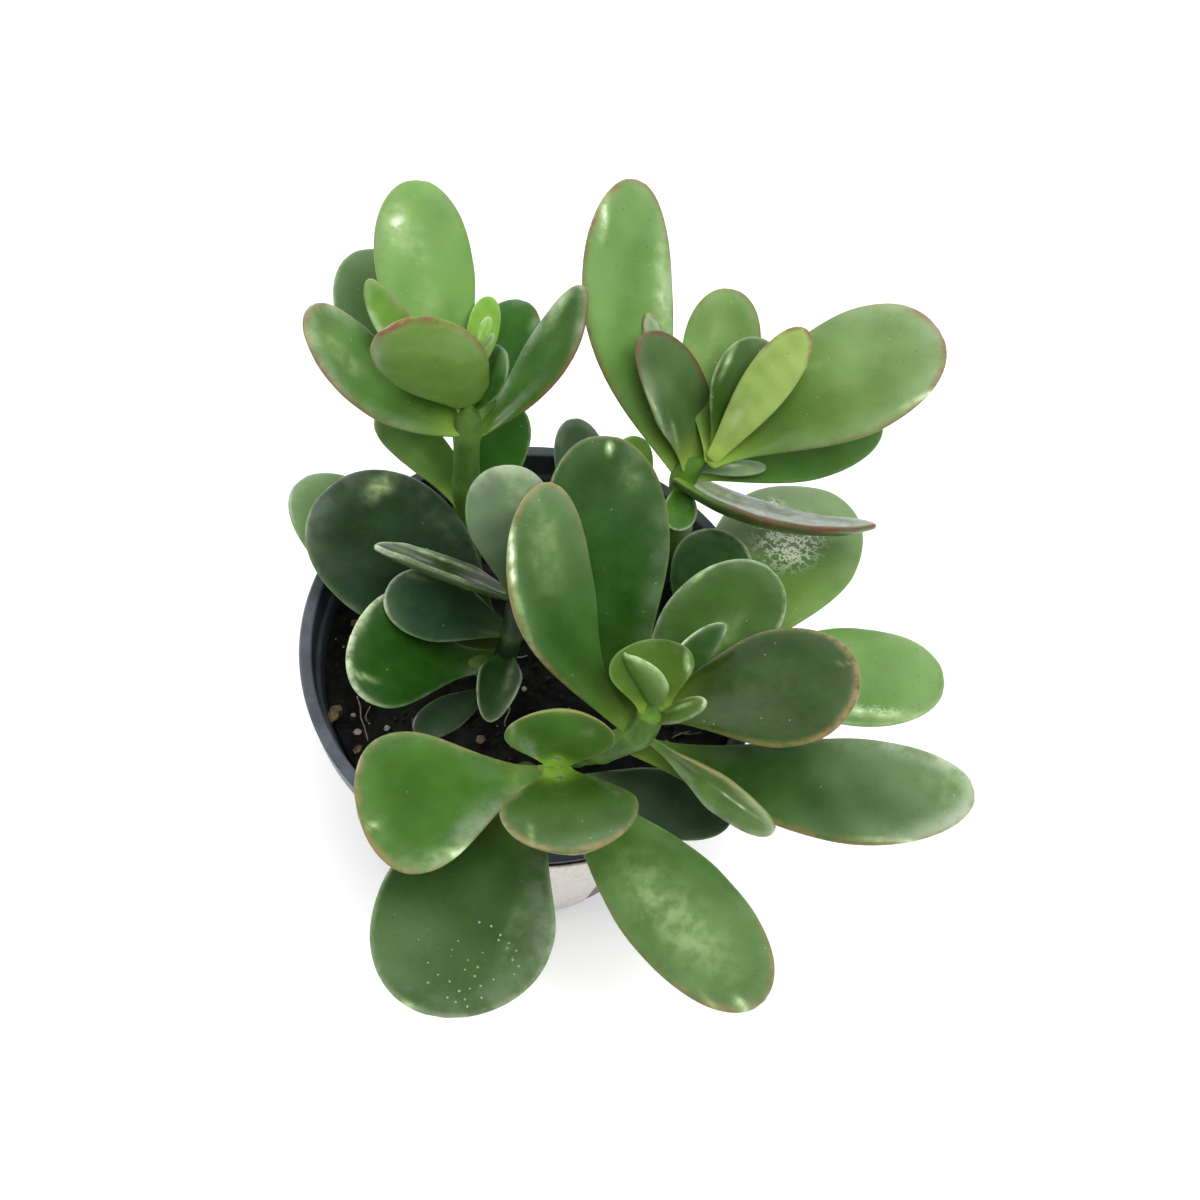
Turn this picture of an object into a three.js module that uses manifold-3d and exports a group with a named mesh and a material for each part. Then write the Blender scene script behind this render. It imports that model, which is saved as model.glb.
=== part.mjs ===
// A young jade plant of several stems in a round nursery pot.
// Millimetres, +Z up. The origin is on the pot's axis, on the surface it stands on.
// The front of the plant, with its lowest broad leaves, is towards -Y.

import * as THREE from "three";
import { mergeVertices } from "three/addons/utils/BufferGeometryUtils.js";
import Module from "manifold-3d";

const wasm = await Module();
wasm.setup();

// ---------------------------------------------------------------- sizes

const GAP = 0.3; // clearance between pieces that touch

const POT = {
  height: 88,
  rimRadius: 55, // outside of the rim at its top edge
  rimWidth: 3, // flat ring on top of the rim
  bandHeight: 9, // the rim's outer band hangs down this far
  bandThickness: 1.5,
  baseRadius: 38,
  wallThickness: 1.6,
  floorThickness: 2,
  ledgeDrop: 8, // the ledge inside the mouth, below the rim
  ledgeWidth: 1.2,
  ledgeHeight: 1,
  mouthDraft: 0.2, // the mouth narrows by this much down to the ledge
  sides: 48,
};

const CUT_OVERLAP = 1; // cutting tools reach this far past what they cut

const DRAIN = { count: 8, radius: 4, circleRadius: 29, sides: 10 };

const SOIL = {
  level: 77, // mean height of the soil's surface
  relief: 1.2, // the surface rises and falls by this much
  clearance: 0.4, // to the pot's sloping wall
  shoulder: 0.5, // the wall side ends this far below the surface's lowest dip
  rings: 6,
  sides: 30,
};

// the soil's lumps: waves along X and Y, in radians per mm with a start in radians
const SOIL_WAVES = [
  { share: 0.6, perX: 0.11, startX: 0.6, perY: 0.13, startY: 1.2 },
  { share: 0.4, perX: 0.37, startX: -1.1, perY: 0.31, startY: 0.7 },
];

const LABEL = {
  bottom: 4,
  fold: 73, // here it leaves the wall, to pass over the rim's band
  top: 86.5,
  thickness: 0.6,
  stepsEachSide: 4, // facets of the pot that the label covers on each side of the front
  front: -90, // direction that it faces, degrees from +X
};

const STEM_SIDES = 8;
const STEM_STEPS_PER_JOINT = 2;
const STEM_TANGENT_STEP = 0.05; // the path's direction is measured over this share of a joint
const STEM_FOOT = 60; // height at which every stem's buried foot ends
const NODE_SWELL = 0.16; // the stem is this much thicker at its leaf joints

// stations along a leaf as a share of its length; the tip is a point at 1
const LEAF_STATIONS = [0, 0.13, 0.3, 0.48, 0.65, 0.8, 0.91, 0.975];
const LEAF_SIDES = { large: 8, small: 6 };
const SMALL_LEAF = 14; // a leaf narrower than this has fewer sides
const LEAF_THICKNESS = { share: 0.085, base: 0.6 }; // of the length, plus a constant in mm
const UPPER_FACE = 0.7; // the upper face bulges this much less than the lower one
const EDGE_FULLNESS = 0.9; // below 1 the blade's cross-section is fuller than an ellipse
const THINNING = 0.6; // how fast the blade thins where it narrows
const CUP = 0.08; // the blade's margins stand up by this share of its half width
const NECK = 0.2; // width of the leaf's base as a share of its full width
const PEAK = 0.62; // where along the leaf it is widest
const NECK_FULLNESS = 0.85; // below 1 the leaf widens sooner from its neck
const TIP_BLUNTNESS = 2.4; // 2 would be an ellipse; higher is squarer
const STRAIGHT = 1e-4; // a curve of fewer degrees than this counts as straight
const WELD = 1e-5; // corners closer than this are one corner

const LOOK = {
  pot: { color: 0x1b1d20, roughness: 0.45 },
  label: { color: 0xcfc8be, roughness: 0.7 },
  soil: { color: 0x2a211b, roughness: 0.95 },
};
const PLANT_ROUGHNESS = 0.35;

// ---------------------------------------------------------------- stems and leaves
//
// A stem's path climbs out of the soil; its first two points stand straight above each other.
// A leaf starts on the path at "at" (0 is the path's first point, 1 its second, and so on).
// turn: its direction seen from above, degrees from +X towards +Y. rise: its slope upwards.
// roll: turned about its own length. bend: curled up along its length. sweep: curved sideways.
// neck, peak, taper, blunt and cup take the place of NECK, PEAK, NECK_FULLNESS, TIP_BLUNTNESS
// and CUP for that leaf. All angles are in degrees, length and width in millimetres.

const STEMS = [
  {
    name: "stem_back_left",
    colour: 0x4f8a3a,
    radius: [3.6, 2.5],
    path: [
      [-18.5, 19, 60], [-18.5, 19, 79], [-19.5, 22, 96], [-19.5, 25, 113], [-19.5, 27, 131],
      [-18.5, 29, 145], [-17.5, 31, 156],
    ],
    leaves: [
      { at: 4.4, turn: 113, rise: 34, length: 50.5, width: 21, bend: -10, sweep: -26 },
      { at: 4, turn: 125, rise: 8, length: 51.5, width: 27, roll: 10, bend: 12, sweep: -20, peak: 0.5 },
      {
        at: 4.1, turn: 167, rise: 36, length: 43, width: 17, bend: 35, sweep: -30, neck: 0.3,
        peak: 0.55, taper: 0.55,
      },
      {
        at: 5, turn: 151, rise: 30, length: 31, width: 8, roll: -40, bend: 10, sweep: -45, cup: 0.3,
        blunt: 1.7,
      },
      {
        at: 4.7, turn: -160, rise: 60, length: 33, width: 21, roll: 90, bend: 5, sweep: -10, cup: 0.16,
        neck: 0.47, peak: 0.46, taper: 0.6,
      },
      {
        at: 3.8, turn: 47, rise: 42, length: 43.5, width: 13, roll: -10, bend: 40, sweep: 15, cup: 0.2,
        blunt: 1.8,
      },
      { at: 4, turn: 76, rise: 11, length: 34.5, width: 15 },
      { at: 4.4, turn: 48, rise: 50, length: 16.5, width: 15, roll: -30 },
      { at: 5, turn: 86, rise: 25, length: 20, width: 7 },
      { at: 6, turn: 74, rise: 30, length: 7, width: 2.8, blunt: 1.6 },
      { at: 5.8, turn: 58, rise: 20, length: 6, width: 2.4, blunt: 1.6 },
      { at: 2.2, turn: 70, rise: 35, length: 30.5, width: 16, roll: -10 },
      { at: 2.65, turn: 147, rise: 18, length: 29, width: 12, bend: -15, sweep: 20, neck: 0.55 },
    ],
  },
  {
    name: "stem_back_right",
    colour: 0x55913d,
    radius: [3.6, 2.4],
    path: [
      [26, 24, 60], [26, 24, 79], [30.5, 30.5, 96], [30, 35, 112], [35.5, 35.5, 120],
      [36.5, 34, 126],
    ],
    leaves: [
      { at: 3, turn: 111, rise: 38, length: 68, width: 21, bend: -14, sweep: -50 },
      { at: 4, turn: 90, rise: 26, length: 39.5, width: 18, bend: 18, sweep: -10 },
      { at: 4, turn: 30, rise: 22, length: 58.5, width: 29.5, roll: 6, bend: -12, sweep: 2 },
      {
        at: 4.2, turn: 50, rise: 46, length: 35.5, width: 11, roll: 20, cup: 0.2, neck: 0.35,
        taper: 0.7,
      },
      { at: 4.2, turn: 70, rise: 40, length: 28.5, width: 15, roll: 10, cup: 0.2 },
      {
        at: 3.3, turn: 136, rise: 50, length: 34, width: 16.5, roll: 3, sweep: 45, cup: 0.16,
        neck: 0.4, peak: 0.45,
      },
      { at: 2.9, turn: 118, rise: 46, length: 40, width: 6 },
      { at: 3, turn: 22, rise: 8, length: 48.5, width: 20, roll: 6, bend: 8 },
      {
        at: 2.9, turn: -10, rise: 4, length: 46, width: 19, roll: -45, bend: 36, sweep: 25, cup: 0.15,
        neck: 0.6, peak: 0.39, taper: 0.5, blunt: 1.43,
      },
      { at: 3.2, turn: 5, rise: 8, length: 18, width: 4.5 },
      { at: 2.95, turn: -89, rise: -25, length: 12.5, width: 8, cup: 0.3 },
    ],
  },
  {
    name: "stem_right",
    colour: 0x4c8536,
    radius: [3.8, 2.4],
    path: [
      [10, -24, 60], [10, -24, 79], [13, -30, 95], [18, -36, 112], [25, -39, 128], [27, -37, 135],
      [28, -35, 142],
    ],
    leaves: [
      {
        at: 4, turn: 105, rise: 26, length: 61, width: 25, roll: -6, bend: -16, sweep: -14, peak: 0.66,
        taper: 1.2,
      },
      { at: 4, turn: 122, rise: 36, length: 54, width: 17.5, sweep: -64, taper: 1.2 },
      { at: 5, turn: 10, rise: 14, length: 41.5, width: 27, roll: -6, bend: 10, sweep: -18 },
      { at: 4.2, turn: 56, rise: 8, length: 44, width: 22, sweep: -30 },
      {
        at: 3.6, turn: -3, rise: 4, length: 71.5, width: 22, roll: 8, bend: -12, sweep: 30, peak: 0.68,
        taper: 1, blunt: 1.9,
      },
      { at: 4.1, turn: -35, rise: 8, length: 34, width: 11, roll: 75, cup: 0.2, taper: 1.6 },
      { at: 5.2, turn: 106, rise: 40, length: 14, width: 17, cup: 0.25, neck: 0.4 },
      { at: 5.2, turn: 139, rise: 50, length: 13.5, width: 13, roll: 90, cup: 0.3, neck: 0.4, peak: 0.5 },
      { at: 4.5, turn: -1, rise: 52, length: 17, width: 5 },
      { at: 5, turn: 54, rise: 20, length: 23, width: 6, sweep: -30, blunt: 1.8 },
    ],
  },
  {
    name: "stem_front",
    colour: 0x4a8434,
    radius: [3.6, 2.6],
    path: [
      [2, -31, 60], [2, -31, 79], [4, -38, 92], [7.5, -43, 107], [9.5, -44.5, 117],
      [9.5, -44.5, 120],
    ],
    leaves: [
      {
        at: 4, turn: -157, rise: 4, length: 41.5, width: 31, bend: -8, sweep: 2, neck: 0.12,
        peak: 0.74, taper: 1.3,
      },
      { at: 4, turn: -41, rise: -6, length: 62, width: 24, bend: -9, sweep: 9 },
      { at: 4.6, turn: -76, rise: 36, length: 31.5, width: 27, bend: -24, taper: 1.1, blunt: 1.9 },
      { at: 4.6, turn: 95, rise: 80, length: 21, width: 22, cup: 0.16 },
      { at: 3, turn: -106, rise: -12, length: 52.5, width: 38, bend: -6, sweep: 38 },
      { at: 3, turn: -2, rise: -5, length: 40.5, width: 15, roll: 8 },
    ],
  },
  {
    name: "stem_left",
    colour: 0x2f5a33,
    radius: [3.2, 2.2],
    path: [
      [-8, -11, 60], [-8, -11, 79], [-8, -13, 87], [-6, -11, 96], [-4.5, -8, 106], [-4, -4, 118],
    ],
    leaves: [
      { at: 3, turn: 144, rise: 13, length: 57.5, width: 35, bend: -4 },
      { at: 2.3, turn: 141, rise: 6, length: 69, width: 24, bend: -10 },
      { at: 4.8, turn: 167, rise: 5, length: 33.5, width: 12, roll: 45, cup: 0.3, neck: 0.35, peak: 0.4 },
      { at: 4, turn: 169, rise: 3, length: 30, width: 17, roll: -6, bend: 10, cup: 0.14 },
      {
        at: 3.1, turn: -174, rise: 16, length: 35.5, width: 28, roll: -6, bend: 8, sweep: -26,
        peak: 0.72, taper: 2,
      },
      { at: 4.8, turn: 104, rise: 30, length: 29.5, width: 19, bend: -16 },
      { at: 3.5, turn: -96, rise: -5, length: 18, width: 10, cup: 0.3, peak: 0.4, blunt: 1.6 },
      { at: 2, turn: -139, rise: 0, length: 21.5, width: 9 },
    ],
  },
  {
    name: "stem_back",
    colour: 0x49765a,
    radius: [3.0, 2.0],
    path: [[12, 15, 60], [12, 15, 79], [13, 18, 90], [13, 20, 100]],
    leaves: [
      { at: 2.5, turn: 110, rise: 25, length: 35, width: 13, bend: -14 },
      { at: 2.5, turn: 80, rise: 15, length: 33, width: 12 },
    ],
  },
  {
    name: "stem_low_right",
    colour: 0x548f45,
    radius: [3.2, 2.2],
    path: [[34, -3, 60], [34, -3, 79], [38, -6, 91], [40, -8, 103]],
    leaves: [
      { at: 3, turn: -1, rise: 6, length: 52.5, width: 26.5, roll: -8, bend: 10 },
      { at: 3, turn: 69, rise: -9, length: 61, width: 35, roll: -8, bend: -10, sweep: 26, peak: 0.6 },
      { at: 2.9, turn: 93, rise: 14, length: 32, width: 19, blunt: 2.6 },
      { at: 2.5, turn: -31, rise: 6, length: 30, width: 18, bend: -14 },
    ],
  },
];

// ---------------------------------------------------------------- mesh and solid helpers

const radians = THREE.MathUtils.degToRad;

// A closed skin through rings of equal length, from first to last.
// Each ring runs anticlockwise seen from the last ring's side. A ring of one point is a pole.
function skin(rings) {
  const positions = [];
  const starts = rings.map((ring) => {
    const start = positions.length / 3;
    ring.forEach((p) => positions.push(p.x, p.y, p.z));
    return start;
  });
  const faces = [];
  for (let i = 0; i + 1 < rings.length; i += 1) {
    const count = Math.max(rings[i].length, rings[i + 1].length);
    for (let j = 0; j < count; j += 1) {
      const k = (j + 1) % count;
      const low = (n) => starts[i] + (rings[i].length > 1 ? n : 0);
      const high = (n) => starts[i + 1] + (rings[i + 1].length > 1 ? n : 0);
      if (rings[i].length > 1) faces.push(low(j), low(k), high(k));
      if (rings[i + 1].length > 1) faces.push(low(j), high(k), high(j));
    }
  }
  const geometry = new THREE.BufferGeometry();
  geometry.setAttribute("position", new THREE.Float32BufferAttribute(positions, 3));
  geometry.setIndex(faces);
  return geometry;
}

function toSolid(geometry) {
  const plain = geometry.clone();
  plain.deleteAttribute("normal");
  plain.deleteAttribute("uv");
  const merged = mergeVertices(plain, WELD);
  const mesh = new wasm.Mesh({
    numProp: 3,
    vertProperties: new Float32Array(merged.attributes.position.array),
    triVerts: new Uint32Array(merged.index.array),
  });
  return new wasm.Manifold(mesh);
}

function toGeometry(solid) {
  const mesh = solid.getMesh();
  const geometry = new THREE.BufferGeometry();
  geometry.setAttribute("position", new THREE.BufferAttribute(mesh.vertProperties, 3));
  geometry.setIndex(new THREE.BufferAttribute(mesh.triVerts, 1));
  return geometry;
}

function circle(radius, z, sides, x = 0, y = 0) {
  return Array.from({ length: sides }, (_, i) => {
    const angle = (2 * Math.PI * i) / sides;
    return new THREE.Vector3(x + radius * Math.cos(angle), y + radius * Math.sin(angle), z);
  });
}

function centre(ring) {
  const sum = new THREE.Vector3();
  ring.forEach((p) => sum.add(p));
  return [sum.divideScalar(ring.length)];
}

// an upright cylinder with a slope, from one height to another
function cone(bottomRadius, bottom, topRadius, top, sides, x = 0, y = 0) {
  const low = circle(bottomRadius, bottom, sides, x, y);
  const high = circle(topRadius, top, sides, x, y);
  return skin([centre(low), low, high, centre(high)]);
}

// ---------------------------------------------------------------- pot

// radius of the outer wall at a height
function wallRadius(z) {
  const bandFoot = POT.height - POT.bandHeight;
  const top = POT.rimRadius - POT.rimWidth - POT.ledgeWidth + POT.wallThickness;
  return POT.baseRadius + ((top - POT.baseRadius) * z) / bandFoot;
}

function potGeometry() {
  const bandFoot = POT.height - POT.bandHeight;
  const ledge = POT.height - POT.ledgeDrop;
  const mouth = POT.rimRadius - POT.rimWidth;
  const inside = (z) => wallRadius(z) - POT.wallThickness;
  const profile = [
    [0, 0],
    [POT.baseRadius, 0],
    [wallRadius(bandFoot), bandFoot],
    [POT.rimRadius - POT.bandThickness / 2, bandFoot],
    [POT.rimRadius, POT.height],
    [mouth, POT.height],
    [mouth - POT.mouthDraft, ledge],
    [inside(ledge - POT.ledgeHeight), ledge - POT.ledgeHeight],
    [inside(POT.floorThickness), POT.floorThickness],
    [0, POT.floorThickness],
  ];
  const points = profile.map(([r, z]) => new THREE.Vector2(r, z));
  const turned = new THREE.LatheGeometry(points, POT.sides);
  turned.rotateX(Math.PI / 2); // the lathe turns about Y; the pot stands along Z
  let solid = toSolid(turned);
  for (let i = 0; i < DRAIN.count; i += 1) {
    const angle = (2 * Math.PI * (i + 0.5)) / DRAIN.count;
    const x = DRAIN.circleRadius * Math.cos(angle);
    const y = DRAIN.circleRadius * Math.sin(angle);
    const top = POT.floorThickness + CUT_OVERLAP;
    const drill = cone(DRAIN.radius, -CUT_OVERLAP, DRAIN.radius, top, DRAIN.sides, x, y);
    solid = solid.subtract(toSolid(drill));
  }
  return toGeometry(solid);
}

// ---------------------------------------------------------------- label

// radius of what the label lies on: the wall up to the fold, the rim's band from its foot up
function underLabel(z) {
  const bandFoot = POT.height - POT.bandHeight;
  if (z <= LABEL.fold) return wallRadius(z);
  const climb = (z - bandFoot) / POT.bandHeight;
  return POT.rimRadius - (POT.bandThickness / 2) * (1 - climb);
}

function labelGeometry() {
  const step = 360 / POT.sides;
  const inner = [];
  const outer = [];
  for (let i = -LABEL.stepsEachSide; i <= LABEL.stepsEachSide; i += 1) {
    inner.push(i);
    outer.unshift(i);
  }
  const ring = (z) => {
    const point = (i, offset) => {
      const angle = radians(LABEL.front + i * step);
      const radius = underLabel(z) + offset;
      return new THREE.Vector3(radius * Math.cos(angle), radius * Math.sin(angle), z);
    };
    const back = inner.map((i) => point(i, GAP));
    const face = outer.map((i) => point(i, GAP + LABEL.thickness));
    return [...face, ...back].reverse();
  };
  const bandFoot = POT.height - POT.bandHeight;
  const rings = [LABEL.bottom, LABEL.fold, bandFoot, LABEL.top].map(ring);
  const geometry = skin(rings);
  const index = Array.from(geometry.index.array);
  const count = rings[0].length;
  const last = count * (rings.length - 1);
  // the two end faces are strips between the label's back and its face
  for (let i = 0; i + 1 < count / 2; i += 1) {
    const mate = count - 1 - i;
    index.push(i, mate, i + 1, i + 1, mate, mate - 1);
    index.push(last + i, last + i + 1, last + mate, last + i + 1, last + mate - 1, last + mate);
  }
  geometry.setIndex(index);
  return geometry;
}

// ---------------------------------------------------------------- soil

// gentle lumps, as a height above the soil's mean level
function soilRelief(x, y) {
  let height = 0;
  SOIL_WAVES.forEach((wave) => {
    const alongX = Math.sin(wave.perX * x + wave.startX);
    const alongY = Math.sin(wave.perY * y + wave.startY);
    height += SOIL.relief * wave.share * alongX * alongY;
  });
  return height;
}

function soilGeometry() {
  const inside = (z) => wallRadius(z) - POT.wallThickness - SOIL.clearance;
  const floor = POT.floorThickness + GAP;
  const lowest = SOIL.level - SOIL.relief - SOIL.shoulder;
  const surface = [];
  for (let i = SOIL.rings; i > 0; i -= 1) {
    const ring = circle((inside(lowest) * i) / SOIL.rings, SOIL.level, SOIL.sides);
    ring.forEach((p) => {
      p.z += soilRelief(p.x, p.y);
    });
    surface.push(ring);
  }
  const middle = new THREE.Vector3(0, 0, SOIL.level + soilRelief(0, 0));
  const foot = circle(inside(floor), floor, SOIL.sides);
  let solid = toSolid(skin([centre(foot), foot, ...surface, [middle]]));
  STEMS.forEach((stem) => {
    const [x, y] = stem.path[0];
    const radius = (stem.radius[0] * (1 + NODE_SWELL)) / Math.cos(Math.PI / STEM_SIDES) + GAP;
    const top = SOIL.level + SOIL.relief + CUT_OVERLAP;
    const hole = cone(radius, STEM_FOOT - GAP, radius, top, 2 * STEM_SIDES, x, y);
    solid = solid.subtract(toSolid(hole));
  });
  return toGeometry(solid);
}

// ---------------------------------------------------------------- stems

function stemPoint(stem, at) {
  const points = stem.path.map((p) => new THREE.Vector3(...p));
  const last = points.length - 1;
  const i = Math.min(Math.floor(at), last - 1);
  const share = at - i;
  const before = i > 0 ? points[i - 1] : points[0].clone().multiplyScalar(2).sub(points[1]);
  const after =
    i + 2 <= last ? points[i + 2] : points[last].clone().multiplyScalar(2).sub(points[last - 1]);
  const curve = (axis) => {
    const [p0, p1, p2, p3] = [before[axis], points[i][axis], points[i + 1][axis], after[axis]];
    const square = share * share;
    const linear = (-p0 + p2) * share;
    const second = (2 * p0 - 5 * p1 + 4 * p2 - p3) * square;
    const third = (-p0 + 3 * p1 - 3 * p2 + p3) * square * share;
    return 0.5 * (2 * p1 + linear + second + third);
  };
  return new THREE.Vector3(curve("x"), curve("y"), curve("z"));
}

function stemSolid(stem) {
  const last = stem.path.length - 1;
  const steps = last * STEM_STEPS_PER_JOINT;
  const rings = [];
  for (let i = 0; i <= steps; i += 1) {
    const at = i / STEM_STEPS_PER_JOINT;
    const here = stemPoint(stem, at);
    const ahead = stemPoint(stem, Math.min(at + STEM_TANGENT_STEP, last));
    const behind = stemPoint(stem, Math.max(at - STEM_TANGENT_STEP, 0));
    const along = at < 1 ? new THREE.Vector3(0, 0, 1) : ahead.sub(behind).normalize();
    const side = new THREE.Vector3(0, 1, 0).cross(along).normalize();
    const front = along.clone().cross(side);
    const taper = THREE.MathUtils.lerp(stem.radius[0], stem.radius[1], at / last);
    const swell = i % STEM_STEPS_PER_JOINT === 0 && at > 1 ? 1 + NODE_SWELL : 1;
    const ring = circle(taper * swell, 0, STEM_SIDES).map((p) =>
      here.clone().addScaledVector(side, p.x).addScaledVector(front, p.y),
    );
    rings.push(ring);
  }
  return toSolid(skin([centre(rings[0]), ...rings, centre(rings[steps])]));
}

// ---------------------------------------------------------------- leaves

// half width of a leaf along its length, as a share of its widest half
function leafOutline(t, shape) {
  const { neck = NECK, peak = PEAK, taper = NECK_FULLNESS, blunt = TIP_BLUNTNESS } = shape;
  if (t < peak) {
    const u = t / peak;
    return neck + (1 - neck) * (u * u * (3 - 2 * u)) ** taper;
  }
  const v = (t - peak) / (1 - peak);
  return Math.sqrt(1 - v ** blunt);
}

// place and slope of a chord of length 1 that is curved into an arc of some degrees
function arc(degrees, t) {
  const angle = radians(degrees);
  if (Math.abs(degrees) < STRAIGHT) return { along: t, off: 0, slope: 0 };
  const slope = angle * (t - 0.5);
  const chord = 2 * Math.sin(angle / 2);
  return {
    along: (Math.sin(slope) + Math.sin(angle / 2)) / chord,
    off: (Math.cos(angle / 2) - Math.cos(slope)) / chord,
    slope,
  };
}

function leafFrame(leaf) {
  const turn = radians(leaf.turn);
  const rise = radians(leaf.rise);
  const roll = radians(leaf.roll ?? 0);
  const along = new THREE.Vector3(
    Math.cos(rise) * Math.cos(turn),
    Math.cos(rise) * Math.sin(turn),
    Math.sin(rise),
  );
  const left = new THREE.Vector3(-Math.sin(turn), Math.cos(turn), 0);
  const up = along.clone().cross(left);
  const across = left.clone().multiplyScalar(Math.cos(roll)).addScaledVector(up, Math.sin(roll));
  const face = up.multiplyScalar(Math.cos(roll)).addScaledVector(left, -Math.sin(roll));
  return { along, across, face };
}

function leafSolid(stem, leaf) {
  const { cup = CUP, bend = 0, sweep = 0 } = leaf;
  const base = stemPoint(stem, leaf.at);
  const frame = leafFrame(leaf);
  const sides = leaf.width < SMALL_LEAF ? LEAF_SIDES.small : LEAF_SIDES.large;
  const thickness = LEAF_THICKNESS.share * leaf.length + LEAF_THICKNESS.base;
  const place = (t, across, face) => {
    const up = arc(bend, t);
    const side = arc(sweep, t);
    const shift = -face * Math.sin(up.slope) - across * Math.sin(side.slope);
    return base
      .clone()
      .addScaledVector(frame.along, leaf.length * up.along + shift)
      .addScaledVector(frame.across, leaf.length * side.off + across * Math.cos(side.slope))
      .addScaledVector(frame.face, leaf.length * up.off + face * Math.cos(up.slope));
  };
  const rings = LEAF_STATIONS.map((t) => {
    const outline = leafOutline(t, leaf);
    const half = (leaf.width / 2) * outline;
    const depth = (thickness / 2) * outline ** THINNING;
    return circle(1, 0, sides).map((p) => {
      const across = half * Math.sign(p.x) * Math.abs(p.x) ** EDGE_FULLNESS;
      const face = depth * p.y * (p.y > 0 ? UPPER_FACE : 1) + cup * half * p.x ** 2;
      return place(t, across, face);
    });
  });
  return toSolid(skin([centre(rings[0]), ...rings, [place(1, 0, 0)]]));
}

function leafyStem(stem) {
  let solid = stemSolid(stem);
  stem.leaves.forEach((leaf) => {
    solid = solid.add(leafSolid(stem, leaf));
  });
  return toGeometry(solid);
}

// ---------------------------------------------------------------- the part

const part = new THREE.Group();

function addPiece(name, geometry, look) {
  const material = new THREE.MeshStandardMaterial({ ...look, metalness: 0 });
  const mesh = new THREE.Mesh(geometry, material);
  mesh.name = name;
  part.add(mesh);
}

addPiece("pot", potGeometry(), LOOK.pot);
addPiece("label", labelGeometry(), LOOK.label);
addPiece("soil", soilGeometry(), LOOK.soil);
STEMS.forEach((stem) => {
  addPiece(stem.name, leafyStem(stem), { color: stem.colour, roughness: PLANT_ROUGHNESS });
});

export default part;
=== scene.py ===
import math
import random
from types import SimpleNamespace as Values

import bmesh
import bpy
import numpy as np
from mathutils import Matrix, Vector, noise


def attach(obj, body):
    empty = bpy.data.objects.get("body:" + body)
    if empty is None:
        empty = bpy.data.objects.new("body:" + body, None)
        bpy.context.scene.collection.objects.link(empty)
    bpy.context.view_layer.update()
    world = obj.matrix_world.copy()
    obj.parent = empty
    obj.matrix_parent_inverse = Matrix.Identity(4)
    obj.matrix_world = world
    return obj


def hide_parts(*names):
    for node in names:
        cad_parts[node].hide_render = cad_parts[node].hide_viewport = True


# A young jade plant in a nursery pot, dressed over its CAD frame.
# Sizes are millimetres and angles degrees, as in the CAD source; MM turns them into metres
# where a mesh is made. Colours are written as they look on a screen, 0 to 255.

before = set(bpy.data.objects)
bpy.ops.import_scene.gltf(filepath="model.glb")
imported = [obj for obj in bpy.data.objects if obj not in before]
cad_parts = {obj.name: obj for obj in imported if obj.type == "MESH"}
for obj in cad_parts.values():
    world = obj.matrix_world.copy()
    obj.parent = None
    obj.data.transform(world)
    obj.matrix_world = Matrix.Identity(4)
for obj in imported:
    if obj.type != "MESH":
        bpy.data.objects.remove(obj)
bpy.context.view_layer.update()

MM = 0.001
FULL_TURN = 2 * math.pi

# ---- camera and sizes

CAMERA = Values(
    target=(14.1, 12.8, 88.0),
    distance=383.0,
    elevation=61.1,
    roll=7.0,
    lens=48.0,
    sensor=36.0,
    clip=(0.01, 20.0),  # metres
)

POT = Values(
    height=88.0,
    rim_radius=55.0,
    rim_width=3.0,
    band_height=9.0,
    band_thickness=1.5,
    base_radius=38.0,
    wall=1.6,
    floor=2.0,
    ledge_drop=8.0,
    ledge_width=1.2,
    ledge_height=1.0,
    mouth_draft=0.2,
    sides=160,
)
BAND_FOOT = POT.height - POT.band_height
BAND_FOOT_RADIUS = POT.rim_radius - POT.band_thickness / 2
ROUNDING = Values(base=1.2, band=0.5, rim=0.6, ledge=0.4, floor=1.0)
ARC_POINTS = 7  # of a rounded corner
DRAIN = Values(count=8, radius=4.0, circle_radius=29.0, sides=32, overlap=1.0)

SOIL = Values(
    level=77.0,
    relief=1.2,
    clearance=0.4,
    shoulder=2.0,  # the wall side ends this far below the level
    rings=70,
    sides=200,
)
SOIL_WAVES = (
    (0.6, 0.11, 0.6, 0.13, 1.2),
    (0.4, 0.37, -1.1, 0.31, 0.7),
)  # share, per mm and start along X, per mm and start along Y
CLODS = Values(
    height=0.9,
    per_mm=0.22,
    fractal=(0.8, 2.1, 4),  # smoothness, step in scale, number of scales
)
GRAIN = Values(
    from_wall=2.5,
    from_stem=5.0,
    tilt=0.3,  # radians
    lift=0.25,  # of its thickness, above the soil
    roughness=0.35,
    noise_scale=1.7,
    noise_shift=50.0,
)
FIBRE = Values(
    from_wall=8.0,
    from_stem=4.5,
    steps=4,
    step=(0.9, 1.8),
    bend=0.7,  # radians
    radius=(0.14, 0.3),
    lift=(0.35, 0.75),
    sides=6,
)

LABEL = Values(
    bottom=4.0,
    fold=73.0,  # here it leaves the wall, to pass over the rim's band
    top=86.5,
    half_angle=30.0,
    front=-90.0,
    gap=0.35,
    thickness=0.3,
    corner=3.0,
    points_across=41,
    points_up=49,
)

STEM_SIDES = 28
STEM_STEPS_PER_JOINT = 14
STEM_LUMPS = 0.03
NODE_SWELL = 0.12
NODE_SPREAD = 0.17  # of a joint
APEX_THINNING = 0.7
APEX_HEIGHT = 0.6  # of the radius
TONE_HEIGHTS = (78.0, 104.0)  # a stalk's colour changes from the first to the second tone here

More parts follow.
